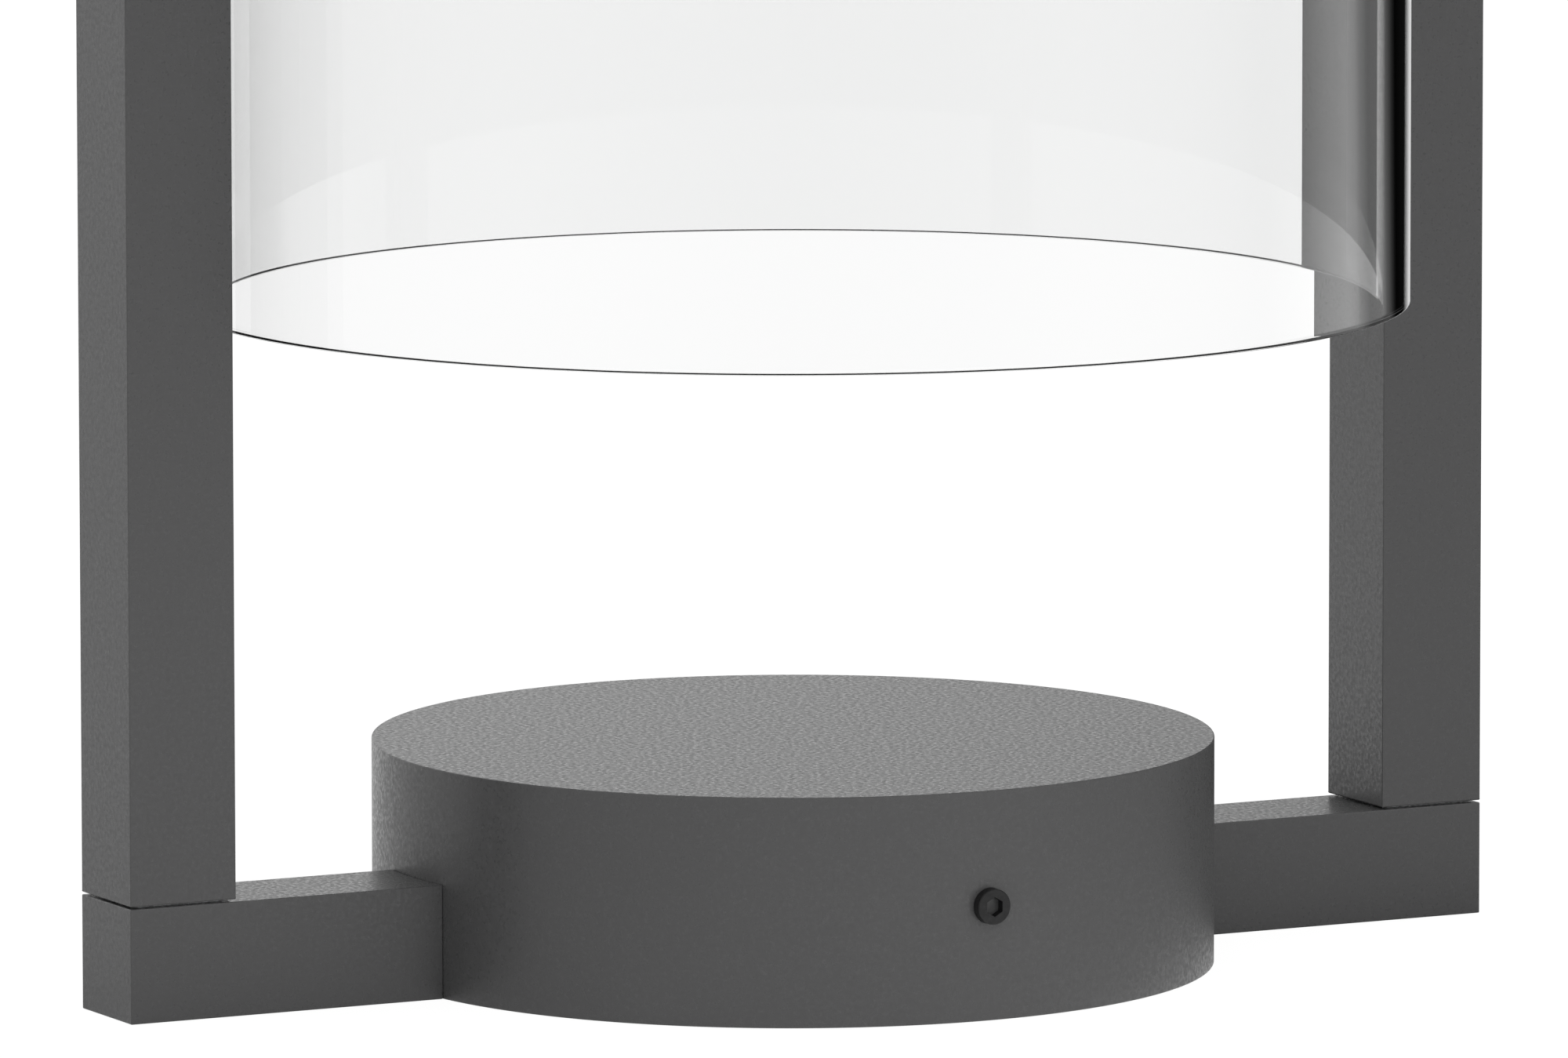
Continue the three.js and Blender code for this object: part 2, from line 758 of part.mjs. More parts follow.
function driverGeometry() {
  const face = new THREE.Shape();
  const half = driverWidth / 2;
  face.moveTo(-half + driverChamfer, driverBottom);
  face.lineTo(half - driverChamfer, driverBottom);
  face.lineTo(half, driverBottom + driverChamfer);
  face.lineTo(half, driverTop);
  face.lineTo(-half, driverTop);
  face.lineTo(-half, driverBottom + driverChamfer);
  const body = new THREE.ExtrudeGeometry(face, { depth: driverLength, bevelEnabled: false });
  return body.rotateX(Math.PI / 2).rotateZ(Math.PI / 2).translate(-driverLength / 2, 0, 0);
}

// Leads

function mainLeadGeometry() {
  const outlet = boxWidth / 2 + glandLength;
  const lastBend = outlet - leadOffset;
  const loop = (drumBore - leadStartX - lastBend) / 2;
  const topZ = frameHeight - leadZ;
  const corners = [
    new THREE.Vector3(leadStartX, terminalBack + fitGap, leadZ),
    new THREE.Vector3(leadStartX, outlet + loop, leadZ),
    new THREE.Vector3(leadStartX + 2 * loop, outlet + loop, leadZ),
    new THREE.Vector3(leadStartX + 2 * loop, leadOffset, leadZ),
    new THREE.Vector3(leadX, leadOffset, leadZ),
    new THREE.Vector3(leadX, leadOffset, topZ),
    new THREE.Vector3(driverLength / 2 + fitGap, leadOffset, topZ),
  ];
  return leadAlong(corners, [loop, loop, lastBend, leadBend, leadBend], leadRadius);
}

function ledLeadGeometry() {
  const corners = [
    new THREE.Vector3(-driverLength / 2 - fitGap, 0, ledLeadZ),
    new THREE.Vector3(ledLeadX, 0, ledLeadZ),
    new THREE.Vector3(ledLeadX, 0, carrierTop + fitGap),
  ];
  return leadAlong(corners, [ledLeadBend], ledLeadRadius);
}

// Assembly

const lantern = new THREE.Group();

function add(parent, name, geometry, material) {
  const mesh = new THREE.Mesh(geometry, material);
  mesh.name = name;
  parent.add(mesh);
  return mesh;
}

// The head end of the frame is the base end turned over
function addFrameEnd(parent, end) {
  for (const [side, sign] of [
    ["left", -1],
    ["right", 1],
  ]) {
    const corner = new THREE.Group();
    corner.scale.x = sign;
    parent.add(corner);
    add(corner, `${end}_arm_${side}`, armGeometry(side === "right"), powderCoat);
    add(corner, `${end}_arm_anchor_${side}`, anchorGeometry(), aluminium);
    const anchorScrew = add(corner, `${end}_anchor_screw_${side}`, anchorScrewGeometry(), steel);
    anchorScrew.position.set(anchorSeat, -screwOffset, leadZ);
    add(corner, `${end}_corner_block_${side}`, cornerBlockGeometry(), aluminium);
    const cornerScrew = add(corner, `${end}_corner_screw_${side}`, cornerScrewGeometry(), steel);
    cornerScrew.position.set(uprightX, -screwOffset, tubeSide - tubeWall);
    const plug = add(corner, `${end}_access_plug_${side}`, plugGeometry(), blackPlastic);
    plug.position.set(uprightX, -screwOffset, 0);
  }
}

const baseEnd = new THREE.Group();
lantern.add(baseEnd);
addFrameEnd(baseEnd, "base");

const headEnd = new THREE.Group();
headEnd.position.z = frameHeight;
headEnd.scale.z = -1;
lantern.add(headEnd);
addFrameEnd(headEnd, "head");

add(lantern, "upright_left", uprightGeometry(), powderCoat).position.x = -uprightX;
add(lantern, "upright_right", uprightGeometry(), powderCoat).position.x = uprightX;

add(lantern, "base_drum", baseDrumGeometry(), powderCoat);
add(lantern, "mounting_plate", mountingPlateGeometry(), steel);
const grubReach = drumRadius + grubProud;
const frontScrew = add(lantern, "base_screw_front", grubScrewGeometry(), darkSteel);
frontScrew.position.set(0, -grubReach, grubZ);
frontScrew.rotation.x = -Math.PI / 2;
const rearScrew = add(lantern, "base_screw_rear", grubScrewGeometry(), darkSteel);
rearScrew.position.set(0, grubReach, grubZ);
rearScrew.rotation.x = Math.PI / 2;

add(lantern, "junction_box", junctionBoxGeometry(), greyPlastic);
add(lantern, "junction_box_lid", junctionLidGeometry(), greyPlastic);
lidScrewPlaces.forEach(([x, y], index) => {
  const fastener = screw(lidScrew, lidThickness + postSide);
  const lidFastener = add(lantern, `lid_screw_${index + 1}`, fastener, steel);
  lidFastener.position.set(x, y, boxTop + lidThickness);
  lidFastener.rotation.x = Math.PI;
});
add(lantern, "terminal_block", terminalBlockGeometry(), whitePlastic);
add(lantern, "cable_grommet", grommetGeometry(), rubber).position.x = entryX;
const gland = add(lantern, "lead_gland", glandGeometry(), blackPlastic);
gland.position.set(leadStartX, boxWidth / 2, leadZ);
add(lantern, "internal_lead", mainLeadGeometry(), rubber);

const head = new THREE.Group();
head.position.z = headBottom;
lantern.add(head);
add(head, "head_drum", headDrumGeometry(), powderCoat);
add(head, "carrier_gasket", carrierGasketGeometry(), rubber);
add(head, "glass_carrier", carrierGeometry(), powderCoat);
add(head, "heat_sink", heatSinkGeometry(), aluminium);
add(head, "led_board", ledBoardGeometry(), whitePlastic);
add(head, "diffuser", diffuserGeometry(), opal);
add(head, "diffuser_ring", diffuserRingGeometry(), powderCoat);
add(head, "led_driver", driverGeometry(), whitePlastic);
add(head, "led_lead", ledLeadGeometry(), rubber);
add(head, "glass_gasket", ring(glassBore, glassRadius, glassTop, carrierUnder), silicone);
add(head, "glass_tube", glassGeometry(), clearGlass);
carrierAngles.forEach((angle, index) => {
  const spoke = new THREE.Group();
  spoke.rotation.z = THREE.MathUtils.degToRad(angle);
  head.add(spoke);
  const fastener = screw(frameScrew, carrierScrewLength);
  const carrierScrew = add(spoke, `carrier_screw_${index + 1}`, fastener, steel);
  carrierScrew.position.set(carrierScrewCircle, 0, carrierUnder);
  add(spoke, `glass_bush_${index + 1}`, bushGeometry(), silicone).position.z = glassScrewZ;
  const glassFastener = add(spoke, `glass_screw_${index + 1}`, glassScrewGeometry(), steel);
  glassFastener.position.set(glassScrewSeat, 0, glassScrewZ);
});

export default lantern;
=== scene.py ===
import json
import math

import bmesh
import bpy
from mathutils import Matrix, Quaternion, Vector


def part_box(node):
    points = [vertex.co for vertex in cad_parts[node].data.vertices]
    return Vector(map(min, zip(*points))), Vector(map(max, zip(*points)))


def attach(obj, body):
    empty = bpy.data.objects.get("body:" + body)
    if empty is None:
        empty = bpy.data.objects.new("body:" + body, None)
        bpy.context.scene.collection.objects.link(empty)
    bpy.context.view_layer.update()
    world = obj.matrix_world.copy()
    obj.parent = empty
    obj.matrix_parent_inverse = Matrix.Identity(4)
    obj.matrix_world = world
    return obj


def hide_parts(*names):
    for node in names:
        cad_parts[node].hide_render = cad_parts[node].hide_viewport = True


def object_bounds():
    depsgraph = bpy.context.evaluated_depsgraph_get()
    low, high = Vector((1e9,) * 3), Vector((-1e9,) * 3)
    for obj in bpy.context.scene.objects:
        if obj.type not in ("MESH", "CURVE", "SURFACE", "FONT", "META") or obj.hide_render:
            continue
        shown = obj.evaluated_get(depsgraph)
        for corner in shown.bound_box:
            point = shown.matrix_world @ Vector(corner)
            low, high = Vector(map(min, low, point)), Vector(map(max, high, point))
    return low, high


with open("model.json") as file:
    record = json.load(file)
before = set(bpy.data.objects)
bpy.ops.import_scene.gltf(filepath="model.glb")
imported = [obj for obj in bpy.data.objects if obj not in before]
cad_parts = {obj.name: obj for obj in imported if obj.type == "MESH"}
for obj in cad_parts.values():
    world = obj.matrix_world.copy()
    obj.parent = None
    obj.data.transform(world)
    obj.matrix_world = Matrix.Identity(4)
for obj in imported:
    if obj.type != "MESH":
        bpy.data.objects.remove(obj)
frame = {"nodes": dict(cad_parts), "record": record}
cad_low, cad_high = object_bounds()
MM = 0.001
BODY = "lantern"

# Sizes in metres: those of the solids come from the frame, the others are the part's own drawing sizes

FRAME_HEIGHT = cad_high.z
FRAME_HALF = cad_high.x
TUBE = 20 * MM
TUBE_WALL = 2 * MM
UPRIGHT_X = FRAME_HALF - TUBE / 2
SCREW_Y = -4 * MM
LEAD_Y = 5.7 * MM
LEAD_HOLE = 2.4 * MM
SCREW_HOLE = 2.3 * MM
ACCESS_HOLE = 3.9 * MM

DRUM_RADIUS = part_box("base_drum")[1].x
DRUM_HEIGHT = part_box("base_drum")[1].z
DRUM_WALL = 3 * MM
DRUM_BORE = DRUM_RADIUS - DRUM_WALL
HEAD_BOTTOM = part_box("head_drum")[0].z
BASE_SCREW_RADIUS = 3.1 * MM
BASE_SCREW_Z = DRUM_HEIGHT / 2
BASE_SCREW_END = -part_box("base_screw_front")[0].y
BASE_BOSS = 6 * MM
BASE_BOSS_LENGTH = 4 * MM
PLATE = 4 * MM
LUG_OUTER = DRUM_BORE - 4.7 * MM
LUG_INNER = LUG_OUTER - 3 * MM
LUG_WIDTH = 44 * MM
SLOT_CIRCLE = LUG_INNER - 10.8 * MM
SLOT_WIDTH = 7 * MM
SLOT_LENGTH = 18 * MM
SLOT_ANGLES = (30, 150, 270)
CABLE_ENTRY = 10 * MM

CARRIER_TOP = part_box("glass_carrier")[1].z
CARRIER_UNDER = CARRIER_TOP - 3 * MM
CARRIER_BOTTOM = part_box("glass_carrier")[0].z
CARRIER_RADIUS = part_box("glass_carrier")[1].x
CARRIER_HOLE = 52 * MM
CARRIER_GASKET_INNER = 60.7 * MM
CARRIER_SCREW_CIRCLE = DRUM_BORE - 4 * MM
SCREW_BOSS = 5 * MM
SCREW_BOSS_HEIGHT = 18 * MM
SCREW_BOSS_BORE = 17 * MM
SPIGOT_WALL = 3.5 * MM
LIP_WALL = 2 * MM
LIP_DROP = 8 * MM
GLASS_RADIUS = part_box("glass_tube")[1].x
GLASS_WALL = 4.5 * MM
GLASS_BORE = GLASS_RADIUS - GLASS_WALL
SPIGOT_RADIUS = GLASS_BORE - 2 * MM
GLASS_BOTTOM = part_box("glass_tube")[0].z
GLASS_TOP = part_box("glass_tube")[1].z
GLASS_SCREW_Z = GLASS_TOP - 15.5 * MM
GLASS_SCREW_SEAT = GLASS_RADIUS + 1.6 * MM
BUSH_FLANGE = 6.5 * MM
BUSH_NECK = 4.2 * MM
BUSH_BORE = 2.8 * MM
SPOKES = (90, 210, 330)

FIT_GAP = 0.3 * MM
COPE_GAP = 0.06 * MM
TUBE_EDGE = 0.2 * MM
TUBE_END_EDGE = 0.25 * MM
DRUM_EDGE = 0.16 * MM
SMALL_EDGE = 0.2 * MM
GLASS_EDGE = 0.2 * MM

VIEW_TURN = math.radians(27.184)
VIEW_TILT = math.radians(7.706)
VIEW_ROLL = math.radians(-0.0615)


# Materials


def material(name):
    """A new node material, its node tree and its Principled shader."""
    made = bpy.data.materials.new(name)
    made.use_nodes = True
    return made, made.node_tree, made.node_tree.nodes["Principled BSDF"]


def node(tree, kind, **settings):
    made = tree.nodes.new(kind)
    for name, value in settings.items():
        setattr(made, name, value)
    return made


def calculate(tree, operation, first, second):
    """A math node whose two inputs are each a socket or a number."""
    made = node(tree, "ShaderNodeMath", operation=operation)
    for socket, value in zip(made.inputs, (first, second)):
        if isinstance(value, bpy.types.NodeSocket):
            tree.links.new(value, socket)
        else:
            socket.default_value = value
    return made.outputs[0]


def grain_group():
    """Fine surface grain: a height for Bump, a mask of its high specks and a mask of its glossy spots."""
    group = bpy.data.node_groups.new("surface_grain", "ShaderNodeTree")
    group.interface.new_socket("Vector", in_out="INPUT", socket_type="NodeSocketVector")
    scale = group.interface.new_socket("Grain per metre", in_out="INPUT", socket_type="NodeSocketFloat")
    scale.default_value = 2400
    spots = group.interface.new_socket("Spots per metre", in_out="INPUT", socket_type="NodeSocketFloat")
    spots.default_value = 1300
    group.interface.new_socket("Height", in_out="OUTPUT", socket_type="NodeSocketFloat")
    group.interface.new_socket("Specks", in_out="OUTPUT", socket_type="NodeSocketFloat")
    group.interface.new_socket("Spots", in_out="OUTPUT", socket_type="NodeSocketFloat")
    inside = node(group, "NodeGroupInput")
    outside = node(group, "NodeGroupOutput")
    fine = node(group, "ShaderNodeTexNoise", noise_dimensions="3D")
    fine.inputs["Detail"].default_value = 2
    fine.inputs["Roughness"].default_value = 0.55
    group.links.new(inside.outputs["Vector"], fine.inputs["Vector"])
    group.links.new(inside.outputs["Grain per metre"], fine.inputs["Scale"])
    speck = node(group, "ShaderNodeMapRange", interpolation_type="SMOOTHSTEP")
    speck.inputs["From Min"].default_value = 0.5
    speck.inputs["From Max"].default_value = 0.75
    group.links.new(fine.outputs["Fac"], speck.inputs["Value"])
    gloss = node(group, "ShaderNodeTexNoise", noise_dimensions="3D")
    gloss.inputs["Detail"].default_value = 1
    group.links.new(inside.outputs["Vector"], gloss.inputs["Vector"])
    group.links.new(inside.outputs["Spots per metre"], gloss.inputs["Scale"])
    spot = node(group, "ShaderNodeMapRange")
    spot.inputs["From Min"].default_value = 0.35
    spot.inputs["From Max"].default_value = 0.65
    group.links.new(gloss.outputs["Fac"], spot.inputs["Value"])
    group.links.new(fine.outputs["Fac"], outside.inputs["Height"])
    group.links.new(speck.outputs["Result"], outside.inputs["Specks"])
    group.links.new(spot.outputs["Result"], outside.inputs["Spots"])
    return group


GRAIN = grain_group()


def grained(name, base, speck, roughness, metallic, grain, relief, strength=0.4):
    """A finish of two close tones with a fine relief and spots from the first roughness to the second."""
    made, tree, shader = material(name)
    coords = node(tree, "ShaderNodeTexCoord")
    surface = node(tree, "ShaderNodeGroup", node_tree=GRAIN)
    surface.inputs["Grain per metre"].default_value = grain
    tree.links.new(coords.outputs["Object"], surface.inputs["Vector"])
    tone = node(tree, "ShaderNodeMix", data_type="RGBA")
    tone.inputs["A"].default_value = (*base, 1)
    tone.inputs["B"].default_value = (*speck, 1)
    tree.links.new(surface.outputs["Specks"], tone.inputs["Factor"])
    tree.links.new(tone.outputs["Result"], shader.inputs["Base Color"])
    bump = node(tree, "ShaderNodeBump")
    bump.inputs["Strength"].default_value = strength
    bump.inputs["Distance"].default_value = relief * MM
    tree.links.new(surface.outputs["Height"], bump.inputs["Height"])
    tree.links.new(bump.outputs["Normal"], shader.inputs["Normal"])
    gloss = node(tree, "ShaderNodeMapRange")
    gloss.inputs["To Min"].default_value = roughness[0]
    gloss.inputs["To Max"].default_value = roughness[1]
    tree.links.new(surface.outputs["Spots"], gloss.inputs["Value"])
    tree.links.new(gloss.outputs["Result"], shader.inputs["Roughness"])
    shader.inputs["Metallic"].default_value = metallic
    return made


def clear_glass():
    """Clear drawn glass, faintly grey, with a painted highlight line at its outline; soft light passes it
    straight.
    """
    made, tree, shader = material("clear_drawn_glass")
    shader.inputs["Base Color"].default_value = (0.969, 0.971, 0.97, 1)
    shader.inputs["Roughness"].default_value = 0
    shader.inputs["IOR"].default_value = 1.5
    shader.inputs["Transmission Weight"].default_value = 1
    path = node(tree, "ShaderNodeLightPath")
    soft = calculate(tree, "MAXIMUM", path.outputs["Is Shadow Ray"], path.outputs["Is Diffuse Ray"])
    straight = node(tree, "ShaderNodeBsdfTransparent")
    straight.inputs["Color"].default_value = (0.955, 0.957, 0.956, 1)
    body = node(tree, "ShaderNodeMixShader")
    tree.links.new(soft, body.inputs["Fac"])
    tree.links.new(shader.outputs["BSDF"], body.inputs[1])
    tree.links.new(straight.outputs["BSDF"], body.inputs[2])
    # Painted highlight: where the camera sees the front of the glass at a grazing angle, a white diffuse is
    # mixed in as a light line along the outline.
    grazing = node(tree, "ShaderNodeLayerWeight")
    line = node(tree, "ShaderNodeMapRange", interpolation_type="SMOOTHSTEP")
    line.inputs["From Min"].default_value = 0.85
    line.inputs["From Max"].default_value = 0.95
    line.inputs["To Max"].default_value = 0.8
    tree.links.new(grazing.outputs["Facing"], line.inputs["Value"])
    surface = node(tree, "ShaderNodeNewGeometry")
    outside = calculate(tree, "SUBTRACT", path.outputs["Is Camera Ray"], surface.outputs["Backfacing"])
    outside = calculate(tree, "MAXIMUM", outside, 0)
    painted_edge_highlight = node(tree, "ShaderNodeBsdfDiffuse")
    painted_edge_highlight.inputs["Color"].default_value = (0.9, 0.9, 0.9, 1)
    with_painted_highlight = node(tree, "ShaderNodeMixShader")
    tree.links.new(calculate(tree, "MULTIPLY", line.outputs["Result"], outside), with_painted_highlight.inputs["Fac"])
    tree.links.new(body.outputs["Shader"], with_painted_highlight.inputs[1])
    tree.links.new(painted_edge_highlight.outputs["BSDF"], with_painted_highlight.inputs[2])
    tree.links.new(with_painted_highlight.outputs["Shader"], tree.nodes["Material Output"].inputs["Surface"])
    return made


def opal_acrylic():
    """Satin opal sheet that spreads light."""
    made = grained("opal_acrylic", (0.86, 0.86, 0.84), (0.88, 0.88, 0.86), (0.38, 0.46), 0, 600, 0.01)
    shader = made.node_tree.nodes["Principled BSDF"]
    shader.inputs["Subsurface Weight"].default_value = 0.3
    shader.inputs["Subsurface Radius"].default_value = (1 * MM, 1 * MM, 1 * MM)
    return made


def blackened_steel():
    """Oiled black steel that mirrors little."""
    made = grained(
        "blackened_steel_screw", (0.006, 0.006, 0.0062), (0.012, 0.012, 0.012), (0.4, 0.55), 0, 1800, 0.01
    )
    made.node_tree.nodes["Principled BSDF"].inputs["Specular IOR Level"].default_value = 0.3
    return made


FINISHES = {
    "powder_coat": grained(
        "anthracite_powder_coat",
        (0.0535, 0.0535, 0.054),
        (0.063, 0.063, 0.0635),
        (0.27, 0.47),
        0,
        1500,
        0.03,
        strength=1,
    ),
    "clear_glass": clear_glass(),
    "zinc_plate": grained(
        "zinc_plated_steel", (0.55, 0.56, 0.57), (0.62, 0.63, 0.64), (0.3, 0.42), 1, 300, 0.01
    ),
    "stainless": grained(
        "stainless_steel_screw", (0.56, 0.56, 0.57), (0.6, 0.6, 0.61), (0.24, 0.32), 1, 1500, 0.004
    ),
    "dark_screw": blackened_steel(),
    # Lighter dark grey, not metal, laid on the base screws' socket floors: a painted highlight where the
    # flat floor of the recess catches light.
    "bare_steel": grained(
        "socket_floor_painted_highlight", (0.05, 0.05, 0.05), (0.07, 0.07, 0.07), (0.4, 0.6), 0, 1500, 0.01
    ),
    "aluminium": grained(
        "bare_aluminium", (0.66, 0.67, 0.68), (0.72, 0.73, 0.74), (0.34, 0.46), 1, 800, 0.01
    ),
    "opal": opal_acrylic(),
    "black_rubber": grained(
        "matt_black_rubber", (0.016, 0.016, 0.017), (0.03, 0.03, 0.03), (0.6, 0.8), 0, 1200, 0.02
    ),
    "silicone": grained(
        "milky_silicone", (0.6, 0.6, 0.58), (0.66, 0.66, 0.64), (0.42, 0.55), 0, 700, 0.01
    ),
    "black_plastic": grained(
        "black_nylon", (0.02, 0.02, 0.021), (0.035, 0.035, 0.036), (0.42, 0.6), 0, 1600, 0.02
    ),
    "grey_plastic": grained(
        "grey_moulding", (0.27, 0.28, 0.29), (0.3, 0.31, 0.32), (0.42, 0.58), 0, 1200, 0.02
    ),
    "white_plastic": grained(
        "white_moulding", (0.68, 0.68, 0.66), (0.72, 0.72, 0.7), (0.4, 0.5), 0, 1200, 0.01
    ),
}


def carry_over_finishes():
    """Every node of the frame gets the finish of its own slot."""
    for part in frame["record"]["subparts"]:
        mesh = frame["nodes"][part["node"]].data
        mesh.materials.clear()
        mesh.materials.append(FINISHES[part["material_slot"]])


# Making pieces


def shade(mesh, sharp_above):
    mesh.polygons.foreach_set("use_smooth", [True] * len(mesh.polygons))
    mesh.set_sharp_from_angle(angle=math.radians(sharp_above))


def finished(bm, node_name, slot, body=BODY, sharp_above=24):
    """Turns a bmesh into the finished piece that stands in for a solid of the frame."""
    bmesh.ops.recalc_face_normals(bm, faces=bm.faces)
    mesh = bpy.data.meshes.new(node_name + "_finished")
    bm.to_mesh(mesh)
    bm.free()
    shade(mesh, sharp_above)
    mesh.materials.append(FINISHES[slot])
    made = bpy.data.objects.new(node_name + "_finished", mesh)
    bpy.context.scene.collection.objects.link(made)
    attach(made, body)
    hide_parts(node_name)
    return made


def softened(outline, radius, steps=4):
    """The closed outline with its corners off the axis rounded, each between two guard points."""
    points = []
    count = len(outline)
    for index, corner in enumerate(outline):
        here = Vector(corner)
        before = Vector(outline[index - 1]) - here
        after = Vector(outline[(index + 1) % count]) - here
        half = before.angle(after) / 2
        reach = radius / math.tan(half)
        room = min(before.length, after.length)
        straight = half > math.radians(85)
        if straight or here.x < radius or room < 4 * reach:
            points.append(here)
            continue
        back, on = before.normalized(), after.normalized()
        centre = here + (back + on).normalized() * radius / math.sin(half)
        start = here + back * reach - centre
        end = here + on * reach - centre
        points.append(here + back * 1.9 * reach)
        for step in range(steps + 1):
            points.append(centre + start.slerp(end, step / steps).normalized() * radius)
        points.append(here + on * 1.9 * reach)
    return points


def turned(outline, edge, facets):
    """A bmesh turned about Z from a closed outline of radius and height."""
    bm = bmesh.new()
    verts = [bm.verts.new((r, 0, z)) for r, z in softened(outline, edge)]
    edges = []
    for index, vert in enumerate(verts):
        following = verts[(index + 1) % len(verts)]
        if max(vert.co.x, following.co.x) > 1e-9:
            edges.append(bm.edges.new((vert, following)))
    bmesh.ops.spin(
        bm,
        geom=verts + edges,
        cent=(0, 0, 0),
        axis=(0, 0, 1),
        dvec=(0, 0, 0),
        angle=2 * math.pi,
        steps=facets,
        use_merge=True,
    )
    bmesh.ops.remove_doubles(bm, verts=bm.verts, dist=1e-7)
    return bm


def rounded_edges(bm, edges, offset, segments=3):
    bmesh.ops.bevel(
        bm,
        geom=edges,
        offset=offset,
        offset_type="OFFSET",
        segments=segments,
        profile=0.5,
        affect="EDGES",
        material=-1,
    )


def prism(polygon, z0, z1):
    """A bmesh of a flat polygon raised from z0 to z1."""
    bm = bmesh.new()
    face = bm.faces.new([bm.verts.new((x, y, z0)) for x, y in polygon])
    raised = bmesh.ops.extrude_face_region(bm, geom=[face])["geom"]
    top = [v for v in raised if isinstance(v, bmesh.types.BMVert)]
    bmesh.ops.translate(bm, vec=(0, 0, z1 - z0), verts=top)
    bmesh.ops.recalc_face_normals(bm, faces=bm.faces)
    return bm


def tool(bm, matrix=None):
    """A cutting tool from a bmesh, moved by the matrix."""
    if matrix:
        bmesh.ops.transform(bm, matrix=matrix, verts=bm.verts)
    mesh = bpy.data.meshes.new("cutting_tool")
    bm.to_mesh(mesh)
    bm.free()
    made = bpy.data.objects.new("cutting_tool", mesh)
    bpy.context.scene.collection.objects.link(made)
    return made


def round_tool(radius, z0, z1, facets=48, matrix=None):
    bm = bmesh.new()
    bmesh.ops.create_cone(
        bm, cap_ends=True, segments=facets, radius1=radius, radius2=radius, depth=z1 - z0
    )
    bmesh.ops.translate(bm, vec=(0, 0, (z0 + z1) / 2), verts=bm.verts)
    return tool(bm, matrix)


def block_tool(low, high):
    corners = [(low[0], low[1]), (high[0], low[1]), (high[0], high[1]), (low[0], high[1])]
    return tool(prism(corners, low[2], high[2]))


def combined(piece, operation, tools, sharp_above):
    """The piece after one exact boolean for each tool."""
    for cutter in tools:
        step = piece.modifiers.new("combine", "BOOLEAN")
        step.operation = operation
        step.solver = "EXACT"
        step.object = cutter
    graph = bpy.context.evaluated_depsgraph_get()
    mesh = bpy.data.meshes.new_from_object(piece.evaluated_get(graph))
    piece.modifiers.clear()
    piece.data = mesh
    for cutter in tools:
        bpy.data.objects.remove(cutter)
    shade(mesh, sharp_above)
    return piece


def cut(piece, tools, sharp_above=24):
    """Takes the tools away from the piece."""
    return combined(piece, "DIFFERENCE", tools, sharp_above)


def joined(piece, tools, sharp_above=24):
    """Adds the tools to the piece as one closed solid."""
    return combined(piece, "UNION", tools, sharp_above)


def turn_x(degrees):
    return Matrix.Rotation(math.radians(degrees), 4, "X")


def turn_y(degrees):
    return Matrix.Rotation(math.radians(degrees), 4, "Y")


def turn_z(degrees):
    return Matrix.Rotation(math.radians(degrees), 4, "Z")


def moved(x, y, z):
    return Matrix.Translation((x, y, z))


ALONG_X = turn_y(90)


# The frame


def drum(end):
    """A drum closed on top, with screw bosses inside and a guard ring above and below the fixing screws."""
    z0 = 0 if end == "base" else HEAD_BOTTOM
    outline = [
        (0, z0 + DRUM_HEIGHT - DRUM_WALL),
        (DRUM_BORE, z0 + DRUM_HEIGHT - DRUM_WALL),
        (DRUM_BORE, z0),
        (DRUM_RADIUS, z0),
        (DRUM_RADIUS, z0 + BASE_SCREW_Z - 2 * BASE_SCREW_RADIUS),
        (DRUM_RADIUS, z0 + BASE_SCREW_Z + 2 * BASE_SCREW_RADIUS),
        (DRUM_RADIUS, z0 + DRUM_HEIGHT),
        (0, z0 + DRUM_HEIGHT),
    ]
    made = finished(turned(outline, DRUM_EDGE, 256), f"{end}_drum", "powder_coat")
    reach = DRUM_RADIUS + DRUM_WALL
    if end == "base":
        places = [moved(0, 0, BASE_SCREW_Z) @ turn_x(side) for side in (-90, 90)]
        start = DRUM_BORE - BASE_BOSS_LENGTH
        bosses = [round_tool(BASE_BOSS, start, DRUM_BORE + DRUM_WALL / 2, 64, place) for place in places]
        hole = BASE_SCREW_RADIUS + 0.04 * MM
        holes = [round_tool(hole, start - DRUM_WALL, reach, 64, place) for place in places]
        arm_z = TUBE / 2
    else:
        places = [turn_z(angle) @ moved(CARRIER_SCREW_CIRCLE, 0, HEAD_BOTTOM) for angle in SPOKES]
        bosses = [round_tool(SCREW_BOSS, FIT_GAP, SCREW_BOSS_HEIGHT, 48, place) for place in places]
        holes = [round_tool(SCREW_HOLE, -DRUM_WALL, SCREW_BOSS_BORE, 32, place) for place in places]
        arm_z = FRAME_HEIGHT - TUBE / 2
    inside = DRUM_BORE - DRUM_WALL
    for side in (-90, 90):
        holes.append(round_tool(SCREW_HOLE, inside, reach, 32, moved(0, SCREW_Y, arm_z) @ turn_y(side)))
    holes.append(round_tool(LEAD_HOLE, inside, reach, 32, moved(0, LEAD_Y, arm_z) @ ALONG_X))
    joined(made, bosses)
    return cut(made, holes)


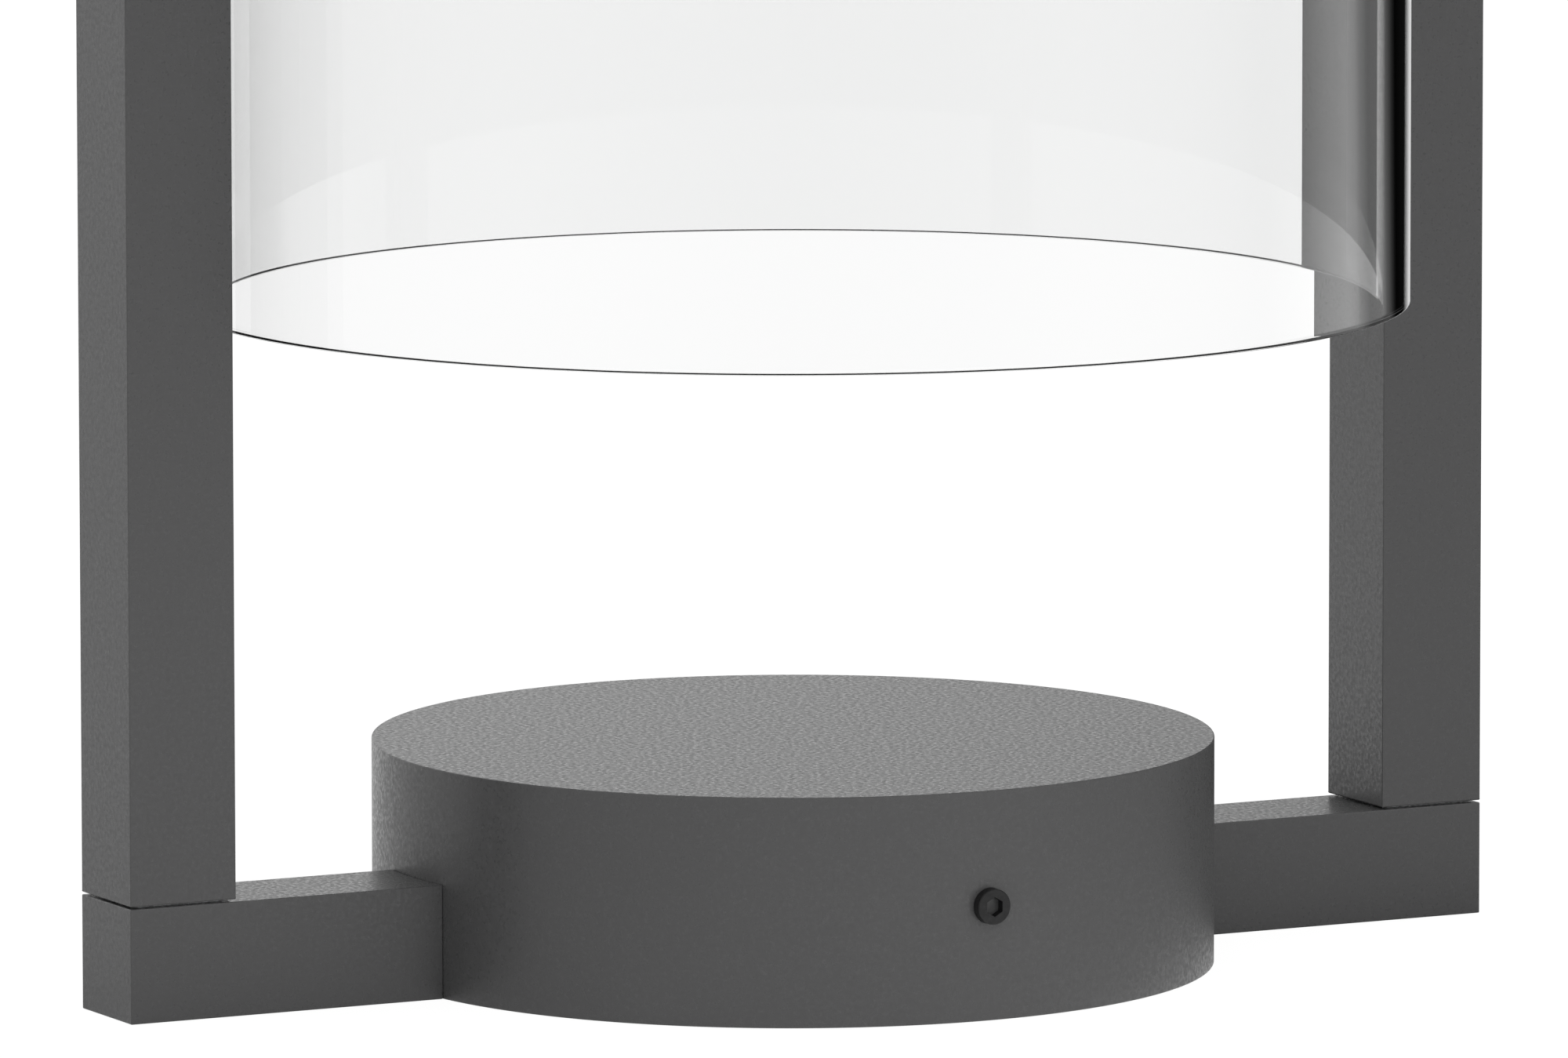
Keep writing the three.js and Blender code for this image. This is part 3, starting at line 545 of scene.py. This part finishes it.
def arm(end, side):
    """A square-tube arm with its screw holes, shaped to the drum at one end and closed at the other."""
    sign = 1 if side == "right" else -1
    half = TUBE / 2
    cope = DRUM_RADIUS + COPE_GAP
    reach = math.asin(half / cope)
    steps = 14
    polygon = [(FRAME_HALF, half), (FRAME_HALF, -half)]
    for step in range(steps + 1):
        angle = -reach + 2 * reach * step / steps
        polygon.append((cope * math.cos(angle), cope * math.sin(angle)))
    z0 = 0 if end == "base" else FRAME_HEIGHT - TUBE
    bm = prism(polygon, z0, z0 + TUBE)
    smooth_seams = [e for e in bm.edges if e.calc_face_angle() < math.radians(20)]
    rounded_edges(bm, [e for e in bm.edges if e not in smooth_seams], TUBE_EDGE)
    bmesh.ops.scale(bm, vec=(sign, 1, 1), verts=bm.verts)
    made = finished(bm, f"{end}_arm_{side}", "powder_coat", sharp_above=10)

    inner = z0 + TUBE if end == "base" else z0
    outer = z0 if end == "base" else z0 + TUBE
    bore = sorted((sign * (DRUM_RADIUS - half), sign * (FRAME_HALF - TUBE_WALL)))
    wall = half - TUBE_WALL
    x = sign * UPRIGHT_X
    tools = [
        block_tool((bore[0], -wall, z0 + TUBE_WALL), (bore[1], wall, z0 + TUBE - TUBE_WALL)),
        round_tool(ACCESS_HOLE, outer - half / 2, outer + half / 2, 48, moved(x, SCREW_Y, 0)),
        round_tool(SCREW_HOLE, inner - half / 2, inner + half / 2, 32, moved(x, SCREW_Y, 0)),
    ]
    if side == "right":
        place = moved(x + LEAD_Y, LEAD_Y, 0)
        tools.append(round_tool(LEAD_HOLE, inner - half / 2, inner + half / 2, 32, place))
    return cut(made, tools, sharp_above=10)


def rise(edge):
    """The height between the two ends of an edge."""
    return abs(edge.verts[0].co.z - edge.verts[1].co.z)


def upright(side):
    """A square tube with eased ends that leave a fine dark line over each arm."""
    low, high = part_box(f"upright_{side}")
    corners = [(low.x, low.y), (high.x, low.y), (high.x, high.y), (low.x, high.y)]
    bm = prism(corners, low.z, high.z)
    ends = [e for e in bm.edges if rise(e) < TUBE]
    rounded_edges(bm, ends, TUBE_END_EDGE, segments=4)
    lengthwise = [e for e in bm.edges if rise(e) > TUBE and e.calc_face_angle() > 1]
    rounded_edges(bm, lengthwise, TUBE_EDGE)
    made = finished(bm, f"upright_{side}", "powder_coat", sharp_above=10)
    bore = block_tool(
        (low.x + TUBE_WALL, low.y + TUBE_WALL, low.z - TUBE),
        (high.x - TUBE_WALL, high.y - TUBE_WALL, high.z + TUBE),
    )
    return cut(made, [bore], sharp_above=10)


# The foot


def arc_outline(inner, outer, width, steps=12):
    """A piece of a ring, bent round the Z axis and centred on X."""
    half = width / 2 / outer
    turns = [-half + 2 * half * step / steps for step in range(steps + 1)]
    points = [(outer * math.cos(turn), outer * math.sin(turn)) for turn in turns]
    return points + [(inner * math.cos(turn), inner * math.sin(turn)) for turn in reversed(turns)]


def slot_outline(width, length, steps=12):
    """A slot with round ends, its long way along Y."""
    radius = width / 2
    points = []
    for end in (0, 1):
        centre = (length / 2 - radius) * (1 - 2 * end)
        for step in range(steps + 1):
            turn = math.pi * (end + step / steps)
            points.append((radius * math.cos(turn), centre + radius * math.sin(turn)))
    return points


def dimple_tool(place):
    """A cone that sinks a seat for a fixing screw's point into a lug."""
    depth, past, bottom = 1.5 * MM, 1 * MM, 1.2 * MM
    bm = bmesh.new()
    bmesh.ops.create_cone(
        bm, cap_ends=True, segments=48, radius1=bottom, radius2=bottom + depth + past, depth=depth + past
    )
    bmesh.ops.translate(bm, vec=(0, 0, LUG_OUTER + (past - depth) / 2), verts=bm.verts)
    return tool(bm, place)


def mounting_plate():
    """The zinc-plated ground plate: a slotted disc with a cable hole, and lugs for the fixing screws."""
    low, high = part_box("mounting_plate")
    outline = [(0, low.z), (high.x, low.z), (high.x, PLATE), (0, PLATE)]
    made = finished(turned(outline, SMALL_EDGE, 192), "mounting_plate", "zinc_plate")
    lugs = []
    for side in (-90, 90):
        bm = prism(arc_outline(LUG_INNER, LUG_OUTER, LUG_WIDTH), PLATE / 2, high.z)
        corners = [e for e in bm.edges if e.calc_face_angle() > math.radians(20)]
        rounded_edges(bm, corners, SMALL_EDGE)
        lugs.append(tool(bm, turn_z(side)))
    joined(made, lugs)
    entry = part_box("cable_grommet")
    middle = (entry[0] + entry[1]) / 2
    tools = [round_tool(CABLE_ENTRY, -PLATE, 2 * PLATE, 64, moved(middle.x, middle.y, 0))]
    for angle in SLOT_ANGLES:
        slot = prism(slot_outline(SLOT_WIDTH, SLOT_LENGTH), -PLATE, 2 * PLATE)
        tools.append(tool(slot, turn_z(angle) @ moved(SLOT_CIRCLE, 0, 0)))
    tools += [dimple_tool(moved(0, 0, BASE_SCREW_Z) @ turn_x(side)) for side in (-90, 90)]
    return cut(made, tools)


def cable_grommet():
    """A rubber grommet in the cable hole, grooved below and with a flange over the box's floor."""
    low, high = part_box("cable_grommet")
    middle = (low + high) / 2
    bore, neck, flange = 4.5 * MM, CABLE_ENTRY - FIT_GAP, (high.x - low.x) / 2
    shelf = high.z - 2 * MM
    outline = [
        (bore, low.z),
        (6 * MM, low.z),
        (6.4 * MM, low.z + 1 * MM),
        (7.6 * MM, low.z + 1 * MM),
        (8 * MM, low.z),
        (neck, low.z),
        (neck, shelf),
        (flange, shelf),
        (flange, high.z),
        (bore, high.z),
    ]
    bm = turned(outline, SMALL_EDGE, 64)
    bmesh.ops.translate(bm, vec=(middle.x, middle.y, 0), verts=bm.verts)
    return finished(bm, "cable_grommet", "black_rubber")


# The head


def carrier_gasket():
    """A flat ring between the head drum and the glass carrier."""
    low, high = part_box("carrier_gasket")
    inner = CARRIER_GASKET_INNER
    outline = [(inner, low.z), (high.x, low.z), (high.x, high.z), (inner, high.z)]
    made = finished(turned(outline, SMALL_EDGE, 192), "carrier_gasket", "black_rubber")
    places = [turn_z(angle) @ moved(CARRIER_SCREW_CIRCLE, 0, low.z) for angle in SPOKES]
    return cut(made, [round_tool(SCREW_HOLE, -LIP_WALL, 2 * LIP_WALL, 32, place) for place in places])


def glass_carrier():
    """The disc under the head drum: a drip lip outside the glass and a spigot inside it."""
    top, under = CARRIER_TOP, CARRIER_UNDER
    outline = [
        (CARRIER_HOLE, under),
        (SPIGOT_RADIUS - SPIGOT_WALL, under),
        (SPIGOT_RADIUS - SPIGOT_WALL, CARRIER_BOTTOM),
        (SPIGOT_RADIUS, CARRIER_BOTTOM),
        (SPIGOT_RADIUS, under),
        (CARRIER_RADIUS - LIP_WALL, under),
        (CARRIER_RADIUS - LIP_WALL, under - LIP_DROP),
        (CARRIER_RADIUS, under - LIP_DROP),
        (CARRIER_RADIUS, top - LIP_WALL),
        (CARRIER_RADIUS - LIP_WALL, top),
        (CARRIER_HOLE, top),
    ]
    made = finished(turned(outline, SMALL_EDGE, 256), "glass_carrier", "powder_coat")
    tools = []
    for angle in SPOKES:
        across = turn_z(angle) @ moved(0, 0, GLASS_SCREW_Z) @ ALONG_X
        start = SPIGOT_RADIUS - 2 * SPIGOT_WALL
        tools.append(round_tool(BUSH_BORE, start, SPIGOT_RADIUS + LIP_WALL, 32, across))
        down = turn_z(angle) @ moved(CARRIER_SCREW_CIRCLE, 0, 0)
        tools.append(round_tool(SCREW_HOLE, under - LIP_WALL, top + LIP_WALL, 32, down))
    return cut(made, tools)


def glass_tube():
    """The glass cylinder, finely faceted, with three holes for its screws between two guard rings."""
    above, below = GLASS_SCREW_Z + 8 * MM, GLASS_SCREW_Z - 8 * MM
    outline = [
        (GLASS_BORE, GLASS_BOTTOM),
        (GLASS_RADIUS, GLASS_BOTTOM),
        (GLASS_RADIUS, below),
        (GLASS_RADIUS, above),
        (GLASS_RADIUS, GLASS_TOP),
        (GLASS_BORE, GLASS_TOP),
        (GLASS_BORE, above),
        (GLASS_BORE, below),
    ]
    made = finished(turned(outline, GLASS_EDGE, 720), "glass_tube", "clear_glass")
    holes = [
        round_tool(
            BUSH_NECK + FIT_GAP,
            GLASS_BORE - GLASS_WALL,
            GLASS_RADIUS + GLASS_WALL,
            48,
            turn_z(angle) @ moved(0, 0, GLASS_SCREW_Z) @ ALONG_X,
        )
        for angle in SPOKES
    ]
    return cut(made, holes)


def diffuser():
    low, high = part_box("diffuser")
    outline = [(0, low.z), (high.x, low.z), (high.x, high.z), (0, high.z)]
    return finished(turned(outline, SMALL_EDGE, 192), "diffuser", "opal")


def diffuser_ring():
    low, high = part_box("diffuser_ring")
    inner, shelf = CARRIER_HOLE, low.z + 3 * MM
    seat = high.x - 2.7 * MM
    ease = 1.5 * MM
    outline = [
        (inner, shelf),
        (inner + ease, low.z),
        (high.x - ease, low.z),
        (high.x, low.z + ease),
        (high.x, high.z),
        (seat, high.z),
        (seat, shelf),
    ]
    return finished(turned(outline, SMALL_EDGE, 192), "diffuser_ring", "powder_coat")


def glass_gasket():
    low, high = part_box("glass_gasket")
    outline = [(GLASS_BORE, low.z), (high.x, low.z), (high.x, high.z), (GLASS_BORE, high.z)]
    return finished(turned(outline, SMALL_EDGE, 192), "glass_gasket", "silicone")


def bush(number, angle):
    """A soft bush in the glass with a flange on both sides of the wall."""
    inside = math.sqrt(GLASS_BORE**2 - BUSH_FLANGE**2) - FIT_GAP / 2
    outside = GLASS_RADIUS + FIT_GAP
    flange = 1 * MM
    outline = [
        (BUSH_BORE, inside - flange),
        (BUSH_FLANGE, inside - flange),
        (BUSH_FLANGE, inside),
        (BUSH_NECK, inside),
        (BUSH_NECK, outside),
        (BUSH_FLANGE, outside),
        (BUSH_FLANGE, outside + flange),
        (BUSH_BORE, outside + flange),
    ]
    bm = turned(outline, SMALL_EDGE, 64)
    place = turn_z(angle) @ moved(0, 0, GLASS_SCREW_Z) @ ALONG_X
    bmesh.ops.transform(bm, matrix=place, verts=bm.verts)
    return finished(bm, f"glass_bush_{number}", "silicone")


# Screws


def hexagon_tool(across_flats, z0, z1, matrix):
    bm = bmesh.new()
    radius = across_flats / math.sqrt(3)
    bmesh.ops.create_cone(bm, cap_ends=True, segments=6, radius1=radius, radius2=radius, depth=z1 - z0)
    bmesh.ops.translate(bm, vec=(0, 0, (z0 + z1) / 2), verts=bm.verts)
    return tool(bm, matrix)


def socket_screw(node_name, slot, shank, head, head_height, hexagon, hexagon_depth, length, place):
    """A low-headed socket screw: its head lies below 0 and its shank rises from it."""
    chamfer = 0.4 * MM
    crown = 0.35 * head_height
    outline = [
        (0, -head_height),
        (0.72 * head, -head_height),
        (0.93 * head, -head_height + 0.45 * crown),
        (head, -crown),
        (head, 0),
        (shank, 0),
        (shank, length - chamfer),
        (shank - chamfer, length),
        (0, length),
    ]
    bm = turned(outline, 0.12 * MM, 64)
    bmesh.ops.transform(bm, matrix=place, verts=bm.verts)
    made = finished(bm, node_name, slot)
    return cut(made, [hexagon_tool(hexagon, -2 * head_height, hexagon_depth - head_height, place)])


def glass_screw(number, angle):
    place = turn_z(angle) @ moved(GLASS_SCREW_SEAT, 0, GLASS_SCREW_Z) @ turn_y(-90)
    length = GLASS_SCREW_SEAT - (SPIGOT_RADIUS - SPIGOT_WALL - 1 * MM)
    name = f"glass_screw_{number}"
    return socket_screw(name, "stainless", 2.5 * MM, 4.6 * MM, 1.9 * MM, 3 * MM, 1.2 * MM, length, place)


def carrier_screw(number, angle):
    place = turn_z(angle) @ moved(CARRIER_SCREW_CIRCLE, 0, CARRIER_UNDER)
    name = f"carrier_screw_{number}"
    return socket_screw(name, "stainless", 2 * MM, 3.5 * MM, 2.4 * MM, 2.5 * MM, 1.4 * MM, 14 * MM, place)


def base_screw(side):
    """A fixing screw: a grub screw with a cone point, its hexagon's corners at the top and bottom."""
    radius, point = BASE_SCREW_RADIUS, 0.9 * MM
    chamfer = 0.15 * MM
    low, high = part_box(f"base_screw_{side}")
    length = high.y - low.y
    outline = [
        (0, 0),
        (radius - chamfer, 0),
        (radius, chamfer),
        (radius, length - radius + point),
        (point, length),
        (0, length),
    ]
    bm = turned(outline, 0.06 * MM, 96)
    turn = turn_x(-90) if side == "front" else turn_x(90)
    start = -BASE_SCREW_END if side == "front" else BASE_SCREW_END
    place = moved(0, start, BASE_SCREW_Z) @ turn
    bmesh.ops.transform(bm, matrix=place, verts=bm.verts)
    made = finished(bm, f"base_screw_{side}", "dark_screw", body=f"{side}_screw")
    depth = 1.6 * MM
    cut(made, [hexagon_tool(3 * MM, -radius, depth, place)])
    # The socket floor takes the lighter grey, a painted highlight that makes the floor of the recess look
    # lit.
    made.data.materials.append(FINISHES["bare_steel"])
    inward = place.to_3x3() @ Vector((0, 0, 1))
    for face in made.data.polygons:
        if abs((face.center - place.translation).dot(inward) - depth) < 0.01 * MM:
            face.material_index = 1
    return made


def access_plug(end, side):
    """A push-in cap over a screw's access hole."""
    low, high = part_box(f"{end}_access_plug_{side}")
    middle = (low + high) / 2
    radius = (high.x - low.x) / 2
    depth, wall = high.z - low.z, 1.2 * MM
    outline = [
        (0, 0),
        (radius, 0),
        (radius, depth),
        (radius - wall, depth),
        (radius - wall, wall),
        (0, wall),
    ]
    bm = turned(outline, 0.35 * MM, 48)
    if end == "base":
        place = moved(middle.x, middle.y, low.z)
    else:
        place = moved(middle.x, middle.y, high.z) @ turn_x(180)
    bmesh.ops.transform(bm, matrix=place, verts=bm.verts)
    return finished(bm, f"{end}_access_plug_{side}", "black_plastic")


# Studio

SKY_PANELS = [
    (-180, 1.0),
    (-150, 0.9),
    (-120, 0.85),
    (-60, 1.0),
    (-20, 1.15),
    (1, 1.15),
    (6, 0.15),
    (60, 0.1),
    (80, 0.5),
    (100, 1.0),
    (130, 1.2),
    (160, 1.1),
    (180, 1.0),
]
NEAR_PANELS = [
    (-180, 1.1),
    (-150, 0.78),
    (-110, 0.5),
    (-55, 0.85),
    (-28, 1.1),
    (0, 1.05),
    (8, 0),
    (58, 0),
    (72, 0.25),
    (80, 0.5),
    (92, 0.75),
    (105, 0.98),
    (130, 1.38),
    (160, 1.25),
    (180, 1.1),
]
FAR_PANELS = [
    (-180, 0.3),
    (-125, 0.5),
    (-90, 0.5),
    (-66, 0.5),
    (-57, 0.7),
    (-28, 0.95),
    (3.4, 1.1),
    (4.4, 0.01),
    (11.2, 0.01),
    (11.5, 0.1),
    (14.5, 0.1),
    (15, 0.01),
    (33, 0),
    (35, 0.06),
    (37.5, 0.22),
    (49, 0.25),
    (55, 0.98),
    (65, 1.05),
    (75, 0.8),
    (85, 0.5),
    (125, 0.5),
    (150, 0.35),
    (180, 0.3),
]


def dot_with(tree, direction, axis):
    dot = node(tree, "ShaderNodeVectorMath", operation="DOT_PRODUCT")
    tree.links.new(direction, dot.inputs[0])
    dot.inputs[1].default_value = axis
    return dot.outputs["Value"]


def turn_share(tree, direction):
    """The turn of a direction from the photograph's line of sight, as 0 to 1 for -180 to 180 degrees."""
    ahead = dot_with(tree, direction, Vector((math.sin(VIEW_TURN), math.cos(VIEW_TURN), 0)))
    right = dot_with(tree, direction, Vector((math.cos(VIEW_TURN), -math.sin(VIEW_TURN), 0)))
    share = node(tree, "ShaderNodeMapRange")
    share.inputs["From Min"].default_value = -math.pi
    share.inputs["From Max"].default_value = math.pi
    tree.links.new(calculate(tree, "ARCTAN2", right, ahead), share.inputs["Value"])
    return share.outputs["Result"]


def panel_light(tree, share, panels):
    """Light strength by the turn from the line of sight, negative to the left of it."""
    ramp = node(tree, "ShaderNodeFloatCurve")
    curve = ramp.mapping.curves[0]
    ramp.mapping.use_clip = False
    curve.points[0].location = (0, panels[0][1])
    curve.points[1].location = (1, panels[-1][1])
    for degrees, strength in panels[1:-1]:
        curve.points.new((degrees + 180) / 360, strength)
    for point in curve.points:
        point.handle_type = "VECTOR"
    ramp.mapping.update()
    tree.links.new(share, ramp.inputs["Value"])
    return ramp.outputs["Value"]


def seen_straight(tree):
    """1 for the camera's view, also through clear glass, and 0 for every reflection, glossy or diffuse."""
    path = node(tree, "ShaderNodeLightPath")
    bounces = calculate(tree, "ADD", path.outputs["Glossy Depth"], path.outputs["Diffuse Depth"])
    return calculate(tree, "LESS_THAN", bounces, 0.5), path


def mirrored_once(tree, path):
    """0 for a mirror image seen through four surfaces of glass or mirrored three times in it, else 1."""
    through = path.outputs["Transmission Depth"]
    mirrored = path.outputs["Glossy Depth"]
    deep = calculate(tree, "GREATER_THAN", through, 3.5)
    deep = calculate(tree, "MULTIPLY", deep, calculate(tree, "GREATER_THAN", mirrored, 0.5))
    again = calculate(tree, "GREATER_THAN", through, 0.5)
    again = calculate(tree, "MULTIPLY", again, calculate(tree, "GREATER_THAN", mirrored, 2.5))
    return calculate(tree, "SUBTRACT", 1, calculate(tree, "MAXIMUM", deep, again))


def blend(tree, factor, first, second):
    """A float mix whose inputs are sockets or numbers."""
    made = node(tree, "ShaderNodeMix", data_type="FLOAT")
    for name, value in (("Factor", factor), ("A", first), ("B", second)):
        if isinstance(value, bpy.types.NodeSocket):
            tree.links.new(value, made.inputs[name])
        else:
            made.inputs[name].default_value = value
    return made.outputs["Result"]


def studio_floor():
    """A white floor, clear from below, that glows to the camera and in reflections and takes a shadow."""
    bm = bmesh.new()
    bmesh.ops.create_grid(bm, x_segments=1, y_segments=1, size=6)
    mesh = bpy.data.meshes.new("studio_floor")
    bm.to_mesh(mesh)
    bm.free()
    mesh.transform(Matrix.Translation((0, 0, -0.05 * MM)))
    floor = bpy.data.objects.new("studio_floor", mesh)
    bpy.context.scene.collection.objects.link(floor)
    made, tree, shader = material("studio_floor")
    shader.inputs["Base Color"].default_value = (0.95, 0.95, 0.95, 1)
    shader.inputs["Roughness"].default_value = 1
    shader.inputs["Specular IOR Level"].default_value = 0
    coords = node(tree, "ShaderNodeTexCoord")
    share = turn_share(tree, coords.outputs["Object"])
    away = node(tree, "ShaderNodeVectorMath", operation="LENGTH")
    tree.links.new(coords.outputs["Object"], away.inputs[0])
    far = node(tree, "ShaderNodeMapRange", interpolation_type="SMOOTHSTEP")
    far.inputs["From Min"].default_value = 0.3
    far.inputs["From Max"].default_value = 0.8
    tree.links.new(away.outputs["Value"], far.inputs["Value"])
    under = node(tree, "ShaderNodeMapRange", interpolation_type="SMOOTHSTEP")
    under.inputs["From Min"].default_value = 0.9 * DRUM_RADIUS
    under.inputs["From Max"].default_value = DRUM_RADIUS
    tree.links.new(away.outputs["Value"], under.inputs["Value"])
    near_light = blend(tree, under.outputs["Result"], 0.7, panel_light(tree, share, NEAR_PANELS))
    far_light = panel_light(tree, share, FAR_PANELS)
    lit = blend(tree, far.outputs["Result"], near_light, far_light)
    straight, path = seen_straight(tree)
    lit = calculate(tree, "MULTIPLY", lit, mirrored_once(tree, path))
    glow = node(tree, "ShaderNodeEmission")
    tree.links.new(blend(tree, straight, lit, 1.06), glow.inputs["Strength"])
    diffuse = calculate(tree, "GREATER_THAN", path.outputs["Diffuse Depth"], 0.5)
    glowing = calculate(tree, "SUBTRACT", 1, diffuse)
    mix = node(tree, "ShaderNodeMixShader")
    shadow_share = calculate(tree, "MULTIPLY", straight, 0.1)
    tree.links.new(calculate(tree, "SUBTRACT", glowing, shadow_share), mix.inputs["Fac"])
    tree.links.new(shader.outputs["BSDF"], mix.inputs[1])
    tree.links.new(glow.outputs["Emission"], mix.inputs[2])
    surface = node(tree, "ShaderNodeNewGeometry")
    clear = node(tree, "ShaderNodeBsdfTransparent")
    from_above = node(tree, "ShaderNodeMixShader")
    tree.links.new(surface.outputs["Backfacing"], from_above.inputs["Fac"])
    tree.links.new(mix.outputs["Shader"], from_above.inputs[1])
    tree.links.new(clear.outputs["BSDF"], from_above.inputs[2])
    tree.links.new(from_above.outputs["Shader"], tree.nodes["Material Output"].inputs["Surface"])
    mesh.materials.append(made)


def studio_sky():
    """White for the camera, and for reflections panels of different strength, dark to the right."""
    world = bpy.data.worlds.new("white_studio")
    bpy.context.scene.world = world
    world.use_nodes = True
    tree = world.node_tree
    coords = node(tree, "ShaderNodeTexCoord")
    lit = panel_light(tree, turn_share(tree, coords.outputs["Generated"]), SKY_PANELS)
    height = node(tree, "ShaderNodeSeparateXYZ")
    tree.links.new(coords.outputs["Generated"], height.inputs[0])
    overhead = node(tree, "ShaderNodeMapRange", interpolation_type="SMOOTHSTEP")
    overhead.inputs["From Min"].default_value = 0.3
    overhead.inputs["From Max"].default_value = 0.8
    tree.links.new(height.outputs["Z"], overhead.inputs["Value"])
    dome = blend(tree, overhead.outputs["Result"], lit, 1)
    straight, path = seen_straight(tree)
    dome = calculate(tree, "MULTIPLY", dome, mirrored_once(tree, path))
    tree.links.new(blend(tree, straight, dome, 1), tree.nodes["Background"].inputs["Strength"])
    tree.nodes["Background"].inputs["Color"].default_value = (1, 1, 1, 1)


def camera():
    """The photograph's viewpoint, solved from the edges of the frame and the drum."""
    across = -1.534 * MM
    back = 2915.37 * MM
    height = 470.92 * MM
    focal_pixels = 21404.4
    picture_width = 2000
    lens = bpy.data.cameras.new("photo_camera")
    lens.sensor_fit = "HORIZONTAL"
    lens.sensor_width = 36
    lens.lens = focal_pixels / picture_width * lens.sensor_width
    lens.clip_end = 50
    eye = bpy.data.objects.new("photo_camera", lens)
    bpy.context.scene.collection.objects.link(eye)
    eye.location = (
        across * math.cos(VIEW_TURN) - back * math.sin(VIEW_TURN),
        -across * math.sin(VIEW_TURN) - back * math.cos(VIEW_TURN),
        height,
    )
    level = math.cos(VIEW_TILT)
    forward = Vector((math.sin(VIEW_TURN) * level, math.cos(VIEW_TURN) * level, -math.sin(VIEW_TILT)))
    upright_view = forward.to_track_quat("-Z", "Y")
    eye.rotation_euler = (upright_view @ Quaternion((0, 0, 1), VIEW_ROLL)).to_euler()
    bpy.context.scene.camera = eye


bpy.context.scene.view_settings.view_transform = "Standard"
camera()
carry_over_finishes()
for end in ("base", "head"):
    drum(end)
    for side in ("left", "right"):
        arm(end, side)
        access_plug(end, side)
for side in ("left", "right"):
    upright(side)
for side in ("front", "rear"):
    base_screw(side)
mounting_plate()
cable_grommet()
carrier_gasket()
glass_carrier()
glass_gasket()
glass_tube()
diffuser()
diffuser_ring()
for number, angle in enumerate(SPOKES, 1):
    bush(number, angle)
    glass_screw(number, angle)
    carrier_screw(number, angle)
studio_floor()
studio_sky()
